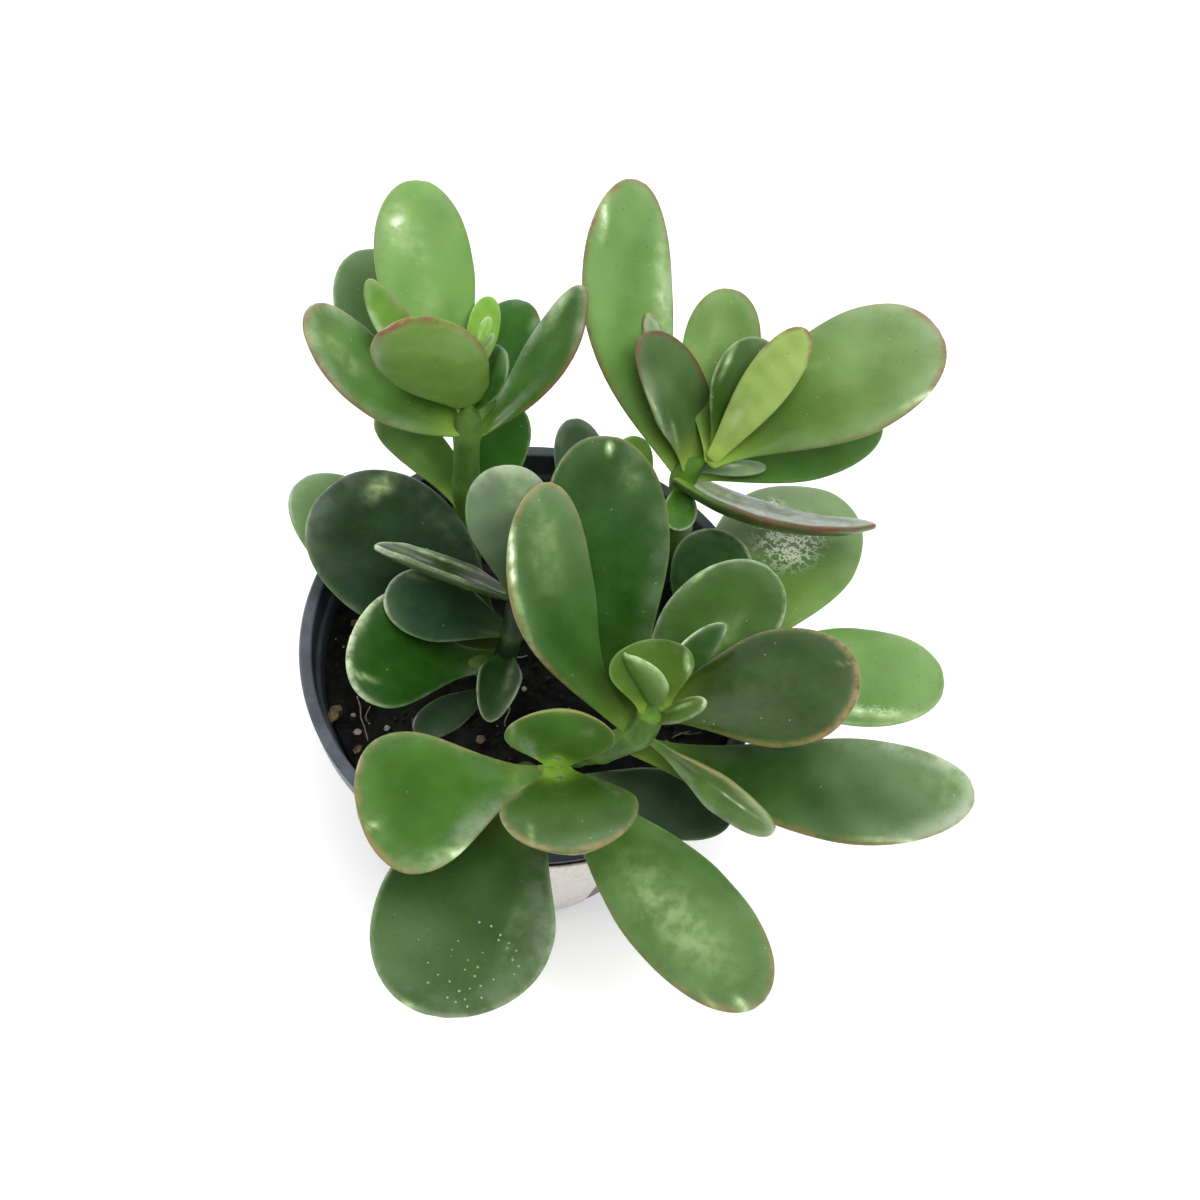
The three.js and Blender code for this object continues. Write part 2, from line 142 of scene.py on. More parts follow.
LEAF_STATIONS = 46
LEAF_SIDES = 48
LEAF_FOOT = 1.6  # a leaf reaches at most this far behind its base
LEAF_THICKNESS = Values(share=0.085, base=0.6)
UPPER_FACE = 0.7
EDGE_FULLNESS = 0.9
THINNING = 0.6
LUMPS = Values(height=0.012, spans=(1.0, 0.7, 0.45))  # shares of the leaf's width
GROOVE = Values(depth=0.05, width=0.16)  # shares of the leaf's width
MARGIN_POINTS = 90
DOME = ((0.93, 0.3), (0.75, 0.62), (0.42, 0.88))  # the rings of a rounded end: width, height
DROP_SQUASH = 0.3

FLOOR = Values(
    size=3000.0,
    glow=0.22,
    far=(0.4, 1.3),  # metres from the pot
    far_glow=0.9,
)

# The room round the plant, as far as it lights it: bright behind it, dark where the camera is.
ROOM = Values(
    brightest=(-0.4, 0.9, 0.12),
    dark_below=0.35,
    bright_above=0.95,
    dark=0.06,
    bright=1.5,
)

# ---- colours

# Leaf greens. The darkest (night, blue, dusk, dark) are partly the leaves' own colour and partly
# painted shade under the canopy.
GREENS = {
    "yellow": (146, 170, 92),
    "pale": (104, 143, 70),
    "lime": (112, 150, 58),
    "leaf": (94, 126, 57),
    "grass": (76, 117, 46),
    "sage": (75, 103, 53),
    "moss": (60, 101, 24),
    "mid": (58, 96, 36),
    "olive": (50, 82, 20),
    "fern": (38, 78, 20),
    "deep": (28, 66, 9),
    "night": (22, 52, 15),
    "blue": (18, 44, 24),
    "dusk": (30, 55, 34),
    "dark": (46, 63, 44),
    "grey": (96, 120, 88),
}
# Stalk colours. The dim and dusk tones near the soil are partly the older stalk's own colour and partly
# painted shade under the leaves.
STALKS = {
    "bright": (116, 152, 56),
    "plain": (84, 122, 48),
    "dim": (48, 74, 32),
    "dusk": (34, 60, 34),
}
# The pale margin is partly the leaf's own pale rim and partly painted highlight on its rounded edge.
EDGES = {
    "rust": (124, 84, 62),
    "wine": (104, 58, 50),
    "tan": (134, 112, 72),
    "pale": (196, 208, 172),
}
NECK_GREEN = (150, 180, 70)
BACK_GREEN = (112, 142, 80)
# Painted sheen and highlights: the grey that pales a leaf's tip, the white of a bloom that is partly
# sheen, and highlights from soft (SHEEN) to white.
TIP_SHEEN_GREY = (138, 160, 120)
BLOOM_AND_SHEEN_WHITE = (206, 218, 196)
SHEEN = (160, 186, 128)
HIGHLIGHT_WHITE = (240, 246, 226)

LIGHTER = 0.05  # a leaf is drawn up to this much lighter or darker
UNEVEN_TINT = 0.12
# painted shade: how much darker a leaf is made towards its base
NECK_SHADE = 0.25
NECK_GLOW = 0.17  # reach along the leaf
DOT_CHOICE = 0.02  # softness of the choice of cells that have a dot


def linear(colour):
    """A screen colour, 0 to 255, as the linear colour that shaders use."""
    shares = [c / 255 for c in colour]
    return np.array(
        [c / 12.92 if c <= 0.04045 else ((c + 0.055) / 1.055) ** 2.4 for c in shares]
    )


# ---- stems and leaves
#
# A leaf's row begins with at, its place on the stem's path, its direction turn and rise, length,
# width, green and shade, which multiplies the green; a low shade is partly painted shade under
# the canopy. roll, bend, sweep: turned about its length, curled up along it, curved sideways.
# left and right are the leaf's own, seen from its base with the upper face up. edge: colour of
# the margin, with its strength on the left side, the right side and the tip.
# frost: whitish bloom, partly painted sheen, on the left, the right and the tip.
# glints: patches of painted highlight, each with its place along the leaf (0 to 1) and across it
# (-1 at the right margin to 1 at the left), its half length and half width in mm, its strength.
# wet: such patches of painted highlight in thin squiggly lines, as on wet, wrinkled
# skin. haze: how much paler and greyer a painted sheen makes the tip's half.
# drops: beads of water, each with its place along and across, and its radius in mm.
# cup: how far the margins stand up, neck: width of the base and peak: place of the widest part,
# as shares. taper: below 1 the leaf widens sooner. blunt: 2 would be an ellipse's tip.

PLAIN_LEAF = {
    "shade": 1.0,
    "roll": 0,
    "bend": 0,
    "sweep": 0,
    "cup": 0.08,
    "neck": 0.2,
    "peak": 0.62,
    "taper": 0.85,
    "blunt": 2.4,
    "haze": 0.15,
    "edge": ("pale", 0.1, 0.1, 0.1),
    "frost": (0, 0, 0.1),
    "glints": (),
    "wet": (),
    "drops": (),
}


def leaf(*start, **more):
    placed = zip(("at", "turn", "rise", "length", "width", "green", "shade"), start)
    return Values(**{**PLAIN_LEAF, **dict(placed), **more})


BACK_LEFT_LEAVES = [
    leaf(4.4, 113, 34, 50.5, 21, "pale", 1.03, bend=-10, sweep=-26, haze=0.1,
         edge=("tan", 0.3, 0.1, 0.3), frost=(0.2, 0, 0.25),
         glints=[(0.8, 0.45, 5, 3, 0.8), (0.72, 0.1, 5, 4, 0.4), (0.45, 0.1, 10, 4, 0.3)]),
    leaf(4, 125, 8, 51.5, 27, "mid", 0.86, roll=10, bend=12, sweep=-20, peak=0.5, haze=0.25,
         edge=("pale", 0.2, 0, 0.2)),
    leaf(4.1, 167, 36, 43, 17, "grass", 0.9, bend=35, sweep=-30, neck=0.3, peak=0.55, taper=0.55,
         haze=0.2, edge=("rust", 0.9, 0.15, 1), frost=(0.5, 0.1, 0.8),
         glints=[(0.72, 0.2, 9, 2.5, 0.35), (0.9, 0.5, 3, 2, 0.4)]),
    leaf(5, 151, 30, 31, 8, "lime", 1.05, roll=-40, bend=10, sweep=-45, cup=0.3, blunt=1.7,
         edge=("rust", 0.1, 0.7, 0.5), frost=(1, 0, 0.5), glints=[(0.5, 0.7, 8, 0.8, 0.5)]),
    leaf(4.7, -160, 60, 33, 21, "lime", 1.1, roll=90, bend=5, sweep=-10, cup=0.16, neck=0.47, peak=0.46,
         taper=0.6, haze=0, edge=("rust", 0.8, 0.6, 1), frost=(0.3, 0.1, 0.1),
         glints=[(0.4, 0.8, 4, 3, 0.4), (0.5, 0.1, 8, 6, 0.12)]),
    leaf(3.8, 47, 42, 43.5, 13, "mid", roll=-10, bend=40, sweep=15, cup=0.2, blunt=1.8, haze=0.12,
         edge=("rust", 0, 0.8, 0.7), frost=(0.8, 0, 1), glints=[(0.85, 0.5, 7, 1.6, 0.6)]),
    leaf(4, 76, 11, 34.5, 15, "fern", haze=0, edge=("rust", 0, 0.3, 0.4), frost=(0, 0.1, 0.2),
         glints=[(0.85, -0.6, 2.5, 1.2, 0.3)]),
    leaf(4.4, 48, 50, 16.5, 15, "fern", 1.25, roll=-30, haze=0.05),
    leaf(5, 86, 25, 20, 7, "lime", 1.07, haze=0, edge=("pale", 0.2, 0, 0.2)),
    leaf(6, 74, 30, 7, 2.8, "lime", 1.1, blunt=1.6, haze=0.2, frost=(0.3, 0.1, 0.5),
         glints=[(0.6, 0.3, 3, 0.6, 0.5)]),
    leaf(5.8, 58, 20, 6, 2.4, "leaf", 0.9, blunt=1.6, haze=0.2, frost=(0.2, 0.2, 0.5),
         glints=[(0.6, 0.3, 3, 0.6, 0.5)]),
    leaf(2.2, 70, 35, 30.5, 16, "fern", 1.45, roll=-10, haze=0, edge=("pale", 0, 0.2, 0.2)),
    leaf(2.65, 147, 18, 29, 12, "leaf", 1.2, bend=-15, sweep=20, neck=0.55, haze=0.2,
         glints=[(0.5, 0.3, 5, 1.5, 0.25)]),
]

BACK_RIGHT_LEAVES = [
    leaf(3, 111, 38, 68, 21, "pale", 0.88, bend=-14, sweep=-50, haze=0.22, edge=("rust", 0.8, 0.2, 1),
         frost=(0.1, 0.8, 0.2), glints=[(0.86, 0.6, 5, 1.1, 0.9), (0.6, -0.72, 20, 2.2, 0.6)]),
    leaf(4, 90, 26, 39.5, 18, "leaf", 1.05, bend=18, sweep=-10, haze=0.2, edge=("rust", 0, 0.6, 0.7),
         frost=(0.1, 0, 0.2), glints=[(0.7, 0.3, 8, 3, 0.2)]),
    leaf(4, 30, 22, 58.5, 29.5, "leaf", 0.85, roll=6, bend=-12, sweep=2, haze=0.34,
         edge=("rust", 0, 0.6, 1), frost=(0.1, 0.2, 0.4),
         glints=[(0.5, 0.45, 3.5, 0.6, 0.7), (0.53, 0.1, 2.5, 0.5, 0.5), (0.58, 0.35, 1.5, 0.8, 0.4),
                 (0.85, -0.88, 8, 0.9, 1), (0.7, 0.1, 12, 7, 0.15)]),
    leaf(4.2, 50, 46, 35.5, 11, "yellow", roll=20, cup=0.2, neck=0.35, taper=0.7, haze=0.05,
         edge=("rust", 0.5, 0, 1), frost=(0.1, 0, 0.1), glints=[(0.3, 0.2, 9, 1.6, 0.45)]),
    leaf(4.2, 70, 40, 28.5, 15, "olive", 0.9, roll=10, cup=0.2, edge=("pale", 0.4, 0, 0.2),
         glints=[(0.75, 0.75, 4, 0.7, 1)]),
    leaf(3.3, 136, 50, 34, 16.5, "sage", 0.78, roll=3, sweep=45, cup=0.16, neck=0.4, peak=0.45,
         haze=0.2, edge=("wine", 0.2, 1, 0.9), frost=(0.5, 0, 0.1),
         glints=[(0.55, 0.88, 9, 0.6, 0.6), (0.3, 0.5, 6, 0.6, 0.4)]),
    leaf(2.9, 118, 46, 40, 6, "grey", 1.5, haze=0.3, edge=("rust", 0.8, 0.8, 0.9),
         frost=(0.9, 0.9, 0.9)),
    leaf(3, 22, 8, 48.5, 20, "grass", roll=6, bend=8),
    leaf(2.9, -10, 4, 46, 19, "fern", 0.95, roll=-45, bend=36, sweep=25, cup=0.15, neck=0.6, peak=0.39,
         taper=0.5, blunt=1.43, haze=0.05, edge=("wine", 0, 1, 1), frost=(0, 0, 0.35),
         glints=[(0.2, 0.3, 9, 1.6, 0.5)]),
    leaf(3.2, 5, 8, 18, 4.5, "grey", 1.5, haze=0.2, frost=(0.2, 0.1, 0.3),
         glints=[(0.5, 0.2, 5, 0.9, 0.9), (0.75, -0.2, 3, 1.2, 0.6)]),
    leaf(2.95, -89, -25, 12.5, 8, "moss", 0.95, cup=0.3, haze=0.05, edge=("pale", 0.5, 0.4, 0.5)),
]

RIGHT_LEAVES = [
    leaf(4, 105, 26, 61, 25, "deep", 0.95, roll=-6, bend=-16, sweep=-14, peak=0.66, taper=1.2,
         haze=0.05, edge=("tan", 0.3, 0.2, 0.4), frost=(0, 0.15, 0.1),
         wet=[(0.1, 0.75, 3, 1.1, 0.9), (0.2, 0.9, 1.5, 0.6, 0.8)],
         glints=[(0.86, -0.45, 5, 3, 0.25), (0.95, -0.1, 1.4, 0.8, 1)]),
    leaf(4, 122, 36, 54, 17.5, "mid", 0.8, sweep=-64, taper=1.2, haze=0.18, edge=("tan", 0.9, 0, 0.8),
         frost=(0.1, 0, 0.2),
         glints=[(0.76, 0.86, 9, 0.8, 1), (0.78, 0.1, 9, 3.4, 0.32), (0.55, 0.8, 9, 0.6, 0.5)]),
    leaf(5, 10, 14, 41.5, 27, "olive", 0.52, roll=-6, bend=10, sweep=-18, haze=0,
         edge=("tan", 0.4, 0.5, 0.9), glints=[(0.94, 0.3, 2.5, 0.5, 0.3), (0.5, 0.1, 10, 6, 0.08)]),
    leaf(4.2, 56, 8, 44, 22, "olive", 0.92, sweep=-30, haze=0.05, edge=("pale", 0.3, 0.2, 0.4),
         frost=(0.1, 0, 0.1), glints=[(0.8, 0.9, 6, 0.6, 0.7), (0.5, -0.2, 10, 2.5, 0.4)]),
    leaf(3.6, -3, 4, 71.5, 22, "mid", 0.6, roll=8, bend=-12, sweep=30, peak=0.68, taper=1, blunt=1.9,
         haze=0.32, edge=("tan", 0, 0.8, 0.7), frost=(0.2, 0, 1),
         glints=[(0.93, 0.1, 7, 7, 0.3), (0.8, -0.9, 9, 0.6, 0.7)]),
    leaf(4.1, -35, 8, 34, 11, "leaf", 1.05, roll=75, cup=0.2, taper=1.6, haze=0.2,
         edge=("tan", 0.8, 0, 0.4), frost=(0, 1, 0.8), glints=[(0.75, 0.3, 7, 0.5, 1)]),
    leaf(5.2, 106, 40, 14, 17, "lime", 0.44, cup=0.25, neck=0.4, haze=0,
         glints=[(0.6, -0.85, 2.4, 0.6, 0.9), (0.5, 0.2, 4, 4, 0.12)]),
    leaf(5.2, 139, 50, 13.5, 13, "lime", 0.85, roll=90, cup=0.3, neck=0.4, peak=0.5, haze=0,
         edge=("pale", 0.5, 0.6, 0.7), frost=(0.7, 0.5, 0.3), glints=[(0.5, 0.3, 3, 1.5, 0.3)]),
    leaf(4.5, -1, 52, 17, 5, "lime", 0.42, haze=0, edge=("pale", 0.5, 0.3, 0.5),
         glints=[(0.6, 0.3, 4, 0.6, 0.6)]),
    leaf(5, 54, 20, 23, 6, "deep", 0.9, sweep=-30, blunt=1.8, haze=0.05, edge=("pale", 0.8, 0, 0.4),
         frost=(0.2, 0, 0.2)),
]

FRONT_LEAVES = [
    leaf(4, -157, 4, 41.5, 31, "moss", 0.85, bend=-8, sweep=2, neck=0.12, peak=0.74, taper=1.3,
         haze=0.02, edge=("tan", 0.5, 0.6, 0.8), frost=(0.6, 0.1, 0.1),
         glints=[(0.5, 0.86, 10, 1.8, 0.8), (0.93, 0.2, 2.5, 0.8, 0.7)]),
    leaf(4, -41, -6, 62, 24, "grass", 0.71, bend=-9, sweep=9, haze=0.2, edge=("tan", 0, 0.4, 1),
         frost=(0.1, 0.1, 0.2),
         glints=[(0.95, -0.35, 2.5, 1, 1), (0.62, -0.15, 17, 6.5, 0.42), (0.9, -0.7, 5, 0.8, 0.4)]),
    leaf(4.6, -76, 36, 31.5, 27, "olive", 0.82, bend=-24, taper=1.1, blunt=1.9, haze=0.1,
         edge=("tan", 0.3, 0.7, 0.8), glints=[(0.85, -0.6, 5, 0.8, 0.35), (0.4, 0, 8, 7, 0.08)]),
    leaf(4.6, 95, 80, 21, 22, "grass", 1.25, cup=0.16, haze=0, edge=("tan", 0.5, 0.6, 0.6),
         glints=[(0.7, -0.5, 2.5, 1.8, 0.4), (0.75, 0.85, 5, 0.6, 0.5)]),
    leaf(3, -106, -12, 52.5, 38, "mid", 0.6, bend=-6, sweep=38, edge=("pale", 0.3, 0.2, 0.3),
         frost=(0.4, 0, 0.2),
         drops=[(0.62, 0.16, 0.29), (0.62, 0.24, 0.26), (0.63, 0.31, 0.27), (0.64, 0.38, 0.26),
                (0.66, 0.44, 0.29), (0.67, 0.5, 0.26), (0.69, 0.55, 0.27), (0.7, 0.6, 0.26),
                (0.73, 0.65, 0.29), (0.76, 0.7, 0.26), (0.79, 0.73, 0.27), (0.8, 0.3, 0.26),
                (0.82, 0.1, 0.22), (0.84, 0.22, 0.29), (0.85, -0.1, 0.24), (0.86, 0.4, 0.26),
                (0.87, 0.05, 0.27), (0.89, 0.25, 0.22), (0.89, -0.25, 0.26), (0.9, 0.12, 0.29),
                (0.91, 0.45, 0.24), (0.92, -0.05, 0.26), (0.93, 0.3, 0.27), (0.77, 0.12, 0.19),
                (0.74, 0.3, 0.2), (0.72, 0, 0.17), (0.94, 0.15, 0.26), (0.95, 0.35, 0.24),
                (0.81, -0.2, 0.19), (0.83, 0.5, 0.2)],
         glints=[(0.6, 0.55, 12, 2.5, 0.25), (0.97, -0.45, 0.8, 2.6, 1)]),
    leaf(3, -2, -5, 40.5, 15, "dark", 0.95, roll=8, haze=0),
]

LEFT_LEAVES = [
    leaf(3, 144, 13, 57.5, 35, "blue", 0.75, bend=-4, haze=0.05, frost=(0, 0.1, 0.2),
         glints=[(0.86, -0.5, 2.6, 4.5, 0.65), (0.6, -0.75, 14, 4, 0.12)]),
    leaf(2.3, 141, 6, 69, 24, "grass", 0.9, bend=-10, haze=0.2, edge=("pale", 0.2, 0, 0.2),
         frost=(0.3, 0, 0.3)),
    leaf(4.8, 167, 5, 33.5, 12, "night", 0.5, roll=45, cup=0.3, neck=0.35, peak=0.4, haze=0.12,
         edge=("pale", 0.3, 0.5, 0.8), frost=(0.1, 0.25, 0.35),
         glints=[(0.6, -0.6, 14, 1, 0.5), (0.75, 0.1, 7, 1.2, 0.3)]),
    leaf(4, 169, 3, 30, 17, "dusk", 1.05, roll=-6, bend=10, cup=0.14, haze=0.05,
         edge=("pale", 0.1, 0.3, 0.5), frost=(0, 0.1, 0.1), glints=[(0.85, -0.6, 4, 0.8, 0.4)]),
    leaf(3.1, -174, 16, 35.5, 28, "deep", 0.9, roll=-6, bend=8, sweep=-26, peak=0.72, taper=2, haze=0,
         edge=("pale", 0.1, 0.2, 0.8), frost=(0, 0.1, 0.1),
         glints=[(0.95, -0.3, 1.2, 4, 0.4), (0.9, 0.6, 5, 0.8, 0.6)]),
    leaf(4.8, 104, 30, 29.5, 19, "grey", 0.7, bend=-16, haze=0.3, edge=("pale", 0.1, 0.2, 0.3),
         frost=(0.1, 0.9, 1), glints=[(0.8, -0.3, 8, 4, 0.4)]),
    leaf(3.5, -96, -5, 18, 10, "night", cup=0.3, peak=0.4, blunt=1.6, haze=0.05,
         edge=("pale", 0.5, 0.4, 0.3), frost=(0.2, 0, 0.1), glints=[(0.4, 0.4, 5, 1, 0.3)]),
    leaf(2, -139, 0, 21.5, 9, "dark", 0.9, haze=0),
]

BACK_LEAVES = [
    leaf(2.5, 110, 25, 35, 13, "dusk", 0.9, bend=-14, haze=0.1, frost=(0, 0.1, 0.3)),
    leaf(2.5, 80, 15, 33, 12, "lime", 1.05, haze=0),
]

LOW_RIGHT_LEAVES = [
    leaf(3, -1, 6, 52.5, 26.5, "pale", 0.78, roll=-8, bend=10, edge=("pale", 0.1, 0.3, 0.2),
         frost=(0, 0.1, 0.15), wet=[(0.7, -0.68, 12, 1.6, 0.35)],
         glints=[(0.68, -0.76, 12, 1.2, 0.7), (0.5, 0.2, 14, 5, 0.15)]),
    leaf(3, 69, -9, 61, 35, "leaf", 0.92, roll=-8, bend=-10, sweep=26, peak=0.6, haze=0.4,
         frost=(0.1, 0.1, 0.1), wet=[(0.66, 0, 9, 8, 0.9), (0.77, 0.4, 6, 4, 0.8)],
         glints=[(0.68, 0.1, 9, 7, 0.55)]),
    leaf(2.9, 93, 14, 32, 19, "night", 0.9, blunt=2.6, haze=0, edge=("pale", 0, 0.6, 0.3)),
    leaf(2.5, -31, 6, 30, 18, "night", bend=-14, haze=0),
]

# apex: where on its path a stalk begins to thin, is thinnest and ends, hidden by the leaves.
# tones: its colour near the soil and at the top, the darker ones partly painted shade. glow: how bright
# the leaves' necks are.
STEMS = [
    Values(
        name="stem_back_left",
        apex=(4.3, 4.65, 5.95),
        tones=("plain", "plain"),
        glow=0.7,
        radius=(3.6, 2.5),
        path=[
            (-18.5, 19, 60), (-18.5, 19, 79), (-19.5, 22, 96), (-19.5, 25, 113), (-19.5, 27, 131),
            (-18.5, 29, 145), (-17.5, 31, 156),
        ],
        leaves=BACK_LEFT_LEAVES,
    ),
    Values(
        name="stem_back_right",
        apex=(3.2, 3.8, 4.2),
        tones=("dim", "plain"),
        glow=0.7,
        radius=(3.6, 2.4),
        path=[
            (26, 24, 60), (26, 24, 79), (30.5, 30.5, 96), (30, 35, 112), (35.5, 35.5, 120),
            (36.5, 34, 126),
        ],
        leaves=BACK_RIGHT_LEAVES,
    ),
    Values(
        name="stem_right",
        apex=(4.9, 5.5, 5.5),
        tones=("dim", "plain"),
        glow=0.5,
        radius=(3.8, 2.4),
        path=[
            (10, -24, 60), (10, -24, 79), (13, -30, 95), (18, -36, 112), (25, -39, 128),
            (27, -37, 135), (28, -35, 142),
        ],
        leaves=RIGHT_LEAVES,
    ),
    Values(
        name="stem_front",
        apex=(4.2, 4.8, 4.8),
        tones=("dim", "bright"),
        glow=0.9,
        radius=(3.6, 2.6),
        path=[
            (2, -31, 60), (2, -31, 79), (4, -38, 92), (7.5, -43, 107), (9.5, -44.5, 117),
            (9.5, -44.5, 120),
        ],
        leaves=FRONT_LEAVES,
    ),
    Values(
        name="stem_left",
        apex=(4.6, 4.95, 4.95),
        tones=("dusk", "dusk"),
        glow=0.15,
        radius=(3.2, 2.2),
        path=[
            (-8, -11, 60), (-8, -11, 79), (-8, -13, 87), (-6, -11, 96), (-4.5, -8, 106),
            (-4, -4, 118),
        ],
        leaves=LEFT_LEAVES,
    ),
    Values(
        name="stem_back",
        apex=(2.5, 2.9, 2.9),
        tones=("dim", "dim"),
        glow=0.3,
        radius=(3.0, 2.0),
        path=[(12, 15, 60), (12, 15, 79), (13, 18, 90), (13, 20, 100)],
        leaves=BACK_LEAVES,
    ),
    Values(
        name="stem_low_right",
        apex=(2.9, 3, 3),
        tones=("dim", "dim"),
        glow=0.3,
        radius=(3.2, 2.2),
        path=[(34, -3, 60), (34, -3, 79), (38, -6, 91), (40, -8, 103)],
        leaves=LOW_RIGHT_LEAVES,
    ),
]

# ---- mesh helpers


def mesh_object(name, points, faces, smooth=True):
    """A mesh from points in millimetres."""
    mesh = bpy.data.meshes.new(name)
    mesh.from_pydata([tuple(p) for p in np.asarray(points) * MM], [], faces)
    mesh.polygons.foreach_set("use_smooth", [smooth] * len(mesh.polygons))
    mesh.update()
    piece = bpy.data.objects.new(name, mesh)
    bpy.context.scene.collection.objects.link(piece)
    return piece


def add_numbers(piece, name, values):
    """Gives each point a number that materials read by name."""
    layer = piece.data.attributes.new(name, "FLOAT", "POINT")
    layer.data.foreach_set("value", values.astype(np.float32))


def add_colours(piece, name, values):
    """Gives each point a colour that materials read by name."""
    layer = piece.data.attributes.new(name, "FLOAT_COLOR", "POINT")
    full = np.concatenate([values, np.ones((len(values), 1))], axis=1)
    layer.data.foreach_set("color", full.astype(np.float32).ravel())


def circle(radius, sides, height=0.0, middle=(0.0, 0.0)):
    """Points round an upright axis, as rows of X, Y and Z."""
    turns = np.linspace(0, FULL_TURN, sides, endpoint=False)
    x = middle[0] + radius * np.cos(turns)
    y = middle[1] + radius * np.sin(turns)
    return np.stack([x, y, np.full(sides, height)], axis=1)


def ring_faces(rings, sides):
    """Quads between rings of points that follow each other."""
    faces = []
    for low in range(0, (rings - 1) * sides, sides):
        for j in range(sides):
            k = (j + 1) % sides
            faces.append((low + j, low + k, low + sides + k, low + sides + j))
    return faces


def closed_tube(rings, start, end):
    """Points and faces of a tube through rings of points, closed to a point at both ends."""
    count, sides, _ = rings.shape
    points = np.concatenate([rings.reshape(-1, 3), [start, end]])
    faces = ring_faces(count, sides)
    foot, tip = count * sides, count * sides + 1
    last = (count - 1) * sides
    for j in range(sides):
        k = (j + 1) % sides
        faces.append((foot, k, j))
        faces.append((tip, last + j, last + k))
    return points, faces


def flat_tube(rings):
    """Points and faces of a tube through rings of points, with flat ends."""
    count, sides, _ = rings.shape
    faces = ring_faces(count, sides)
    faces.append(tuple(range(sides))[::-1])
    faces.append(tuple(range((count - 1) * sides, count * sides)))
    return rings.reshape(-1, 3), faces


def joined(shapes):
    """The points and faces of many small shapes as those of one."""
    points = []
    faces = []
    for shape_points, shape_faces in shapes:
        first = len(points)
        points.extend(shape_points)
        faces += [tuple(first + k for k in face) for face in shape_faces]
    return points, faces


def finish_piece(piece, material, slot, *nodes):
    piece.data.materials.clear()
    piece.data.materials.append(material)
    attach(piece, "root")
    if nodes:
        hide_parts(*nodes)


def smoothstep(low, high, value):
    share = np.clip((value - low) / (high - low), 0, 1)
    return share * share * (3 - 2 * share)


# ---- shader helpers


class Shader:
    """The nodes of a material or world, with short calls for those that this scene uses."""

    def __init__(self, owner):
        owner.use_nodes = True
        self.owner = owner
        self.nodes = owner.node_tree.nodes
        self.links = owner.node_tree.links
        self.places = self.node("TexCoord")

    def put(self, value, socket):
        if isinstance(value, bpy.types.NodeSocket):
            self.links.new(value, socket)
        else:
            socket.default_value = value

    def node(self, kind, inputs=(), **settings):
        """Adds a node, fills its inputs by name or number and returns its outputs."""
        node = self.nodes.new("ShaderNode" + kind)
        for name, value in settings.items():
            setattr(node, name, value)
        for name, value in dict(inputs).items():
            self.put(value, node.inputs[name])
        return node.outputs

    def finish(self, last="Principled BSDF", **values):
        """Fills the inputs of the last node and returns the material or world."""
        for name, value in values.items():
            self.put(value, self.nodes[last].inputs[name.replace("_", " ")])
        return self.owner

    def noise(self, scale, detail=3.0, roughness=0.5, stretch=None):
        place = self.places["Object"]
        if stretch is not None:
            place = self.node("Mapping", {"Vector": place, "Scale": stretch})["Vector"]
        inputs = {"Vector": place, "Scale": scale, "Detail": detail, "Roughness": roughness}
        return self.node("TexNoise", inputs)["Fac"]

    def dots(self, scale, share, inner, outer, strength):
        """Soft dots in a share of the cells of that scale, from an inner to an outer radius."""
        cells = self.node("TexVoronoi", {"Vector": self.places["Object"], "Scale": scale})
        number = self.node("SeparateColor", {"Color": cells["Color"]})["Red"]
        chosen = self.ramp(number, 1 - share, 1 - share + DOT_CHOICE)
        return self.times(self.ramp(cells["Distance"], inner, outer, strength, 0.0), chosen)

    def attribute(self, name, output="Fac"):
        return self.node("Attribute", attribute_name=name)[output]

    def math(self, kind, first, second=0.0):
        return self.node("Math", {0: first, 1: second}, operation=kind)[0]

    def times(self, first, second):
        return self.math("MULTIPLY", first, second)

    def ramp(self, value, low, high, start=0.0, end=1.0):
        """value from low to high becomes start to end, held at both ends."""
        inputs = {"Value": value, "From Min": low, "From Max": high, "To Min": start, "To Max": end}
        return self.node("MapRange", inputs, interpolation_type="SMOOTHSTEP")["Result"]

    def mix(self, share, first, second, kind="MIX"):
        inputs = {0: share, 6: self.colour(first), 7: self.colour(second)}
        return self.node("Mix", inputs, data_type="RGBA", blend_type=kind)[2]

    def colour(self, value):
        if isinstance(value, bpy.types.NodeSocket):
            return value
        return (*linear(value), 1.0)

    def bump(self, height, strength, distance):
        inputs = {"Height": height, "Strength": strength, "Distance": distance}
        return self.node("Bump", inputs)["Normal"]


def new_material(name):
    return Shader(bpy.data.materials.new(name))


# ---- materials
#
# Scales are per metre, and bump distances metres. A ramp's numbers are the noise's range that it
# spreads, and what it becomes.


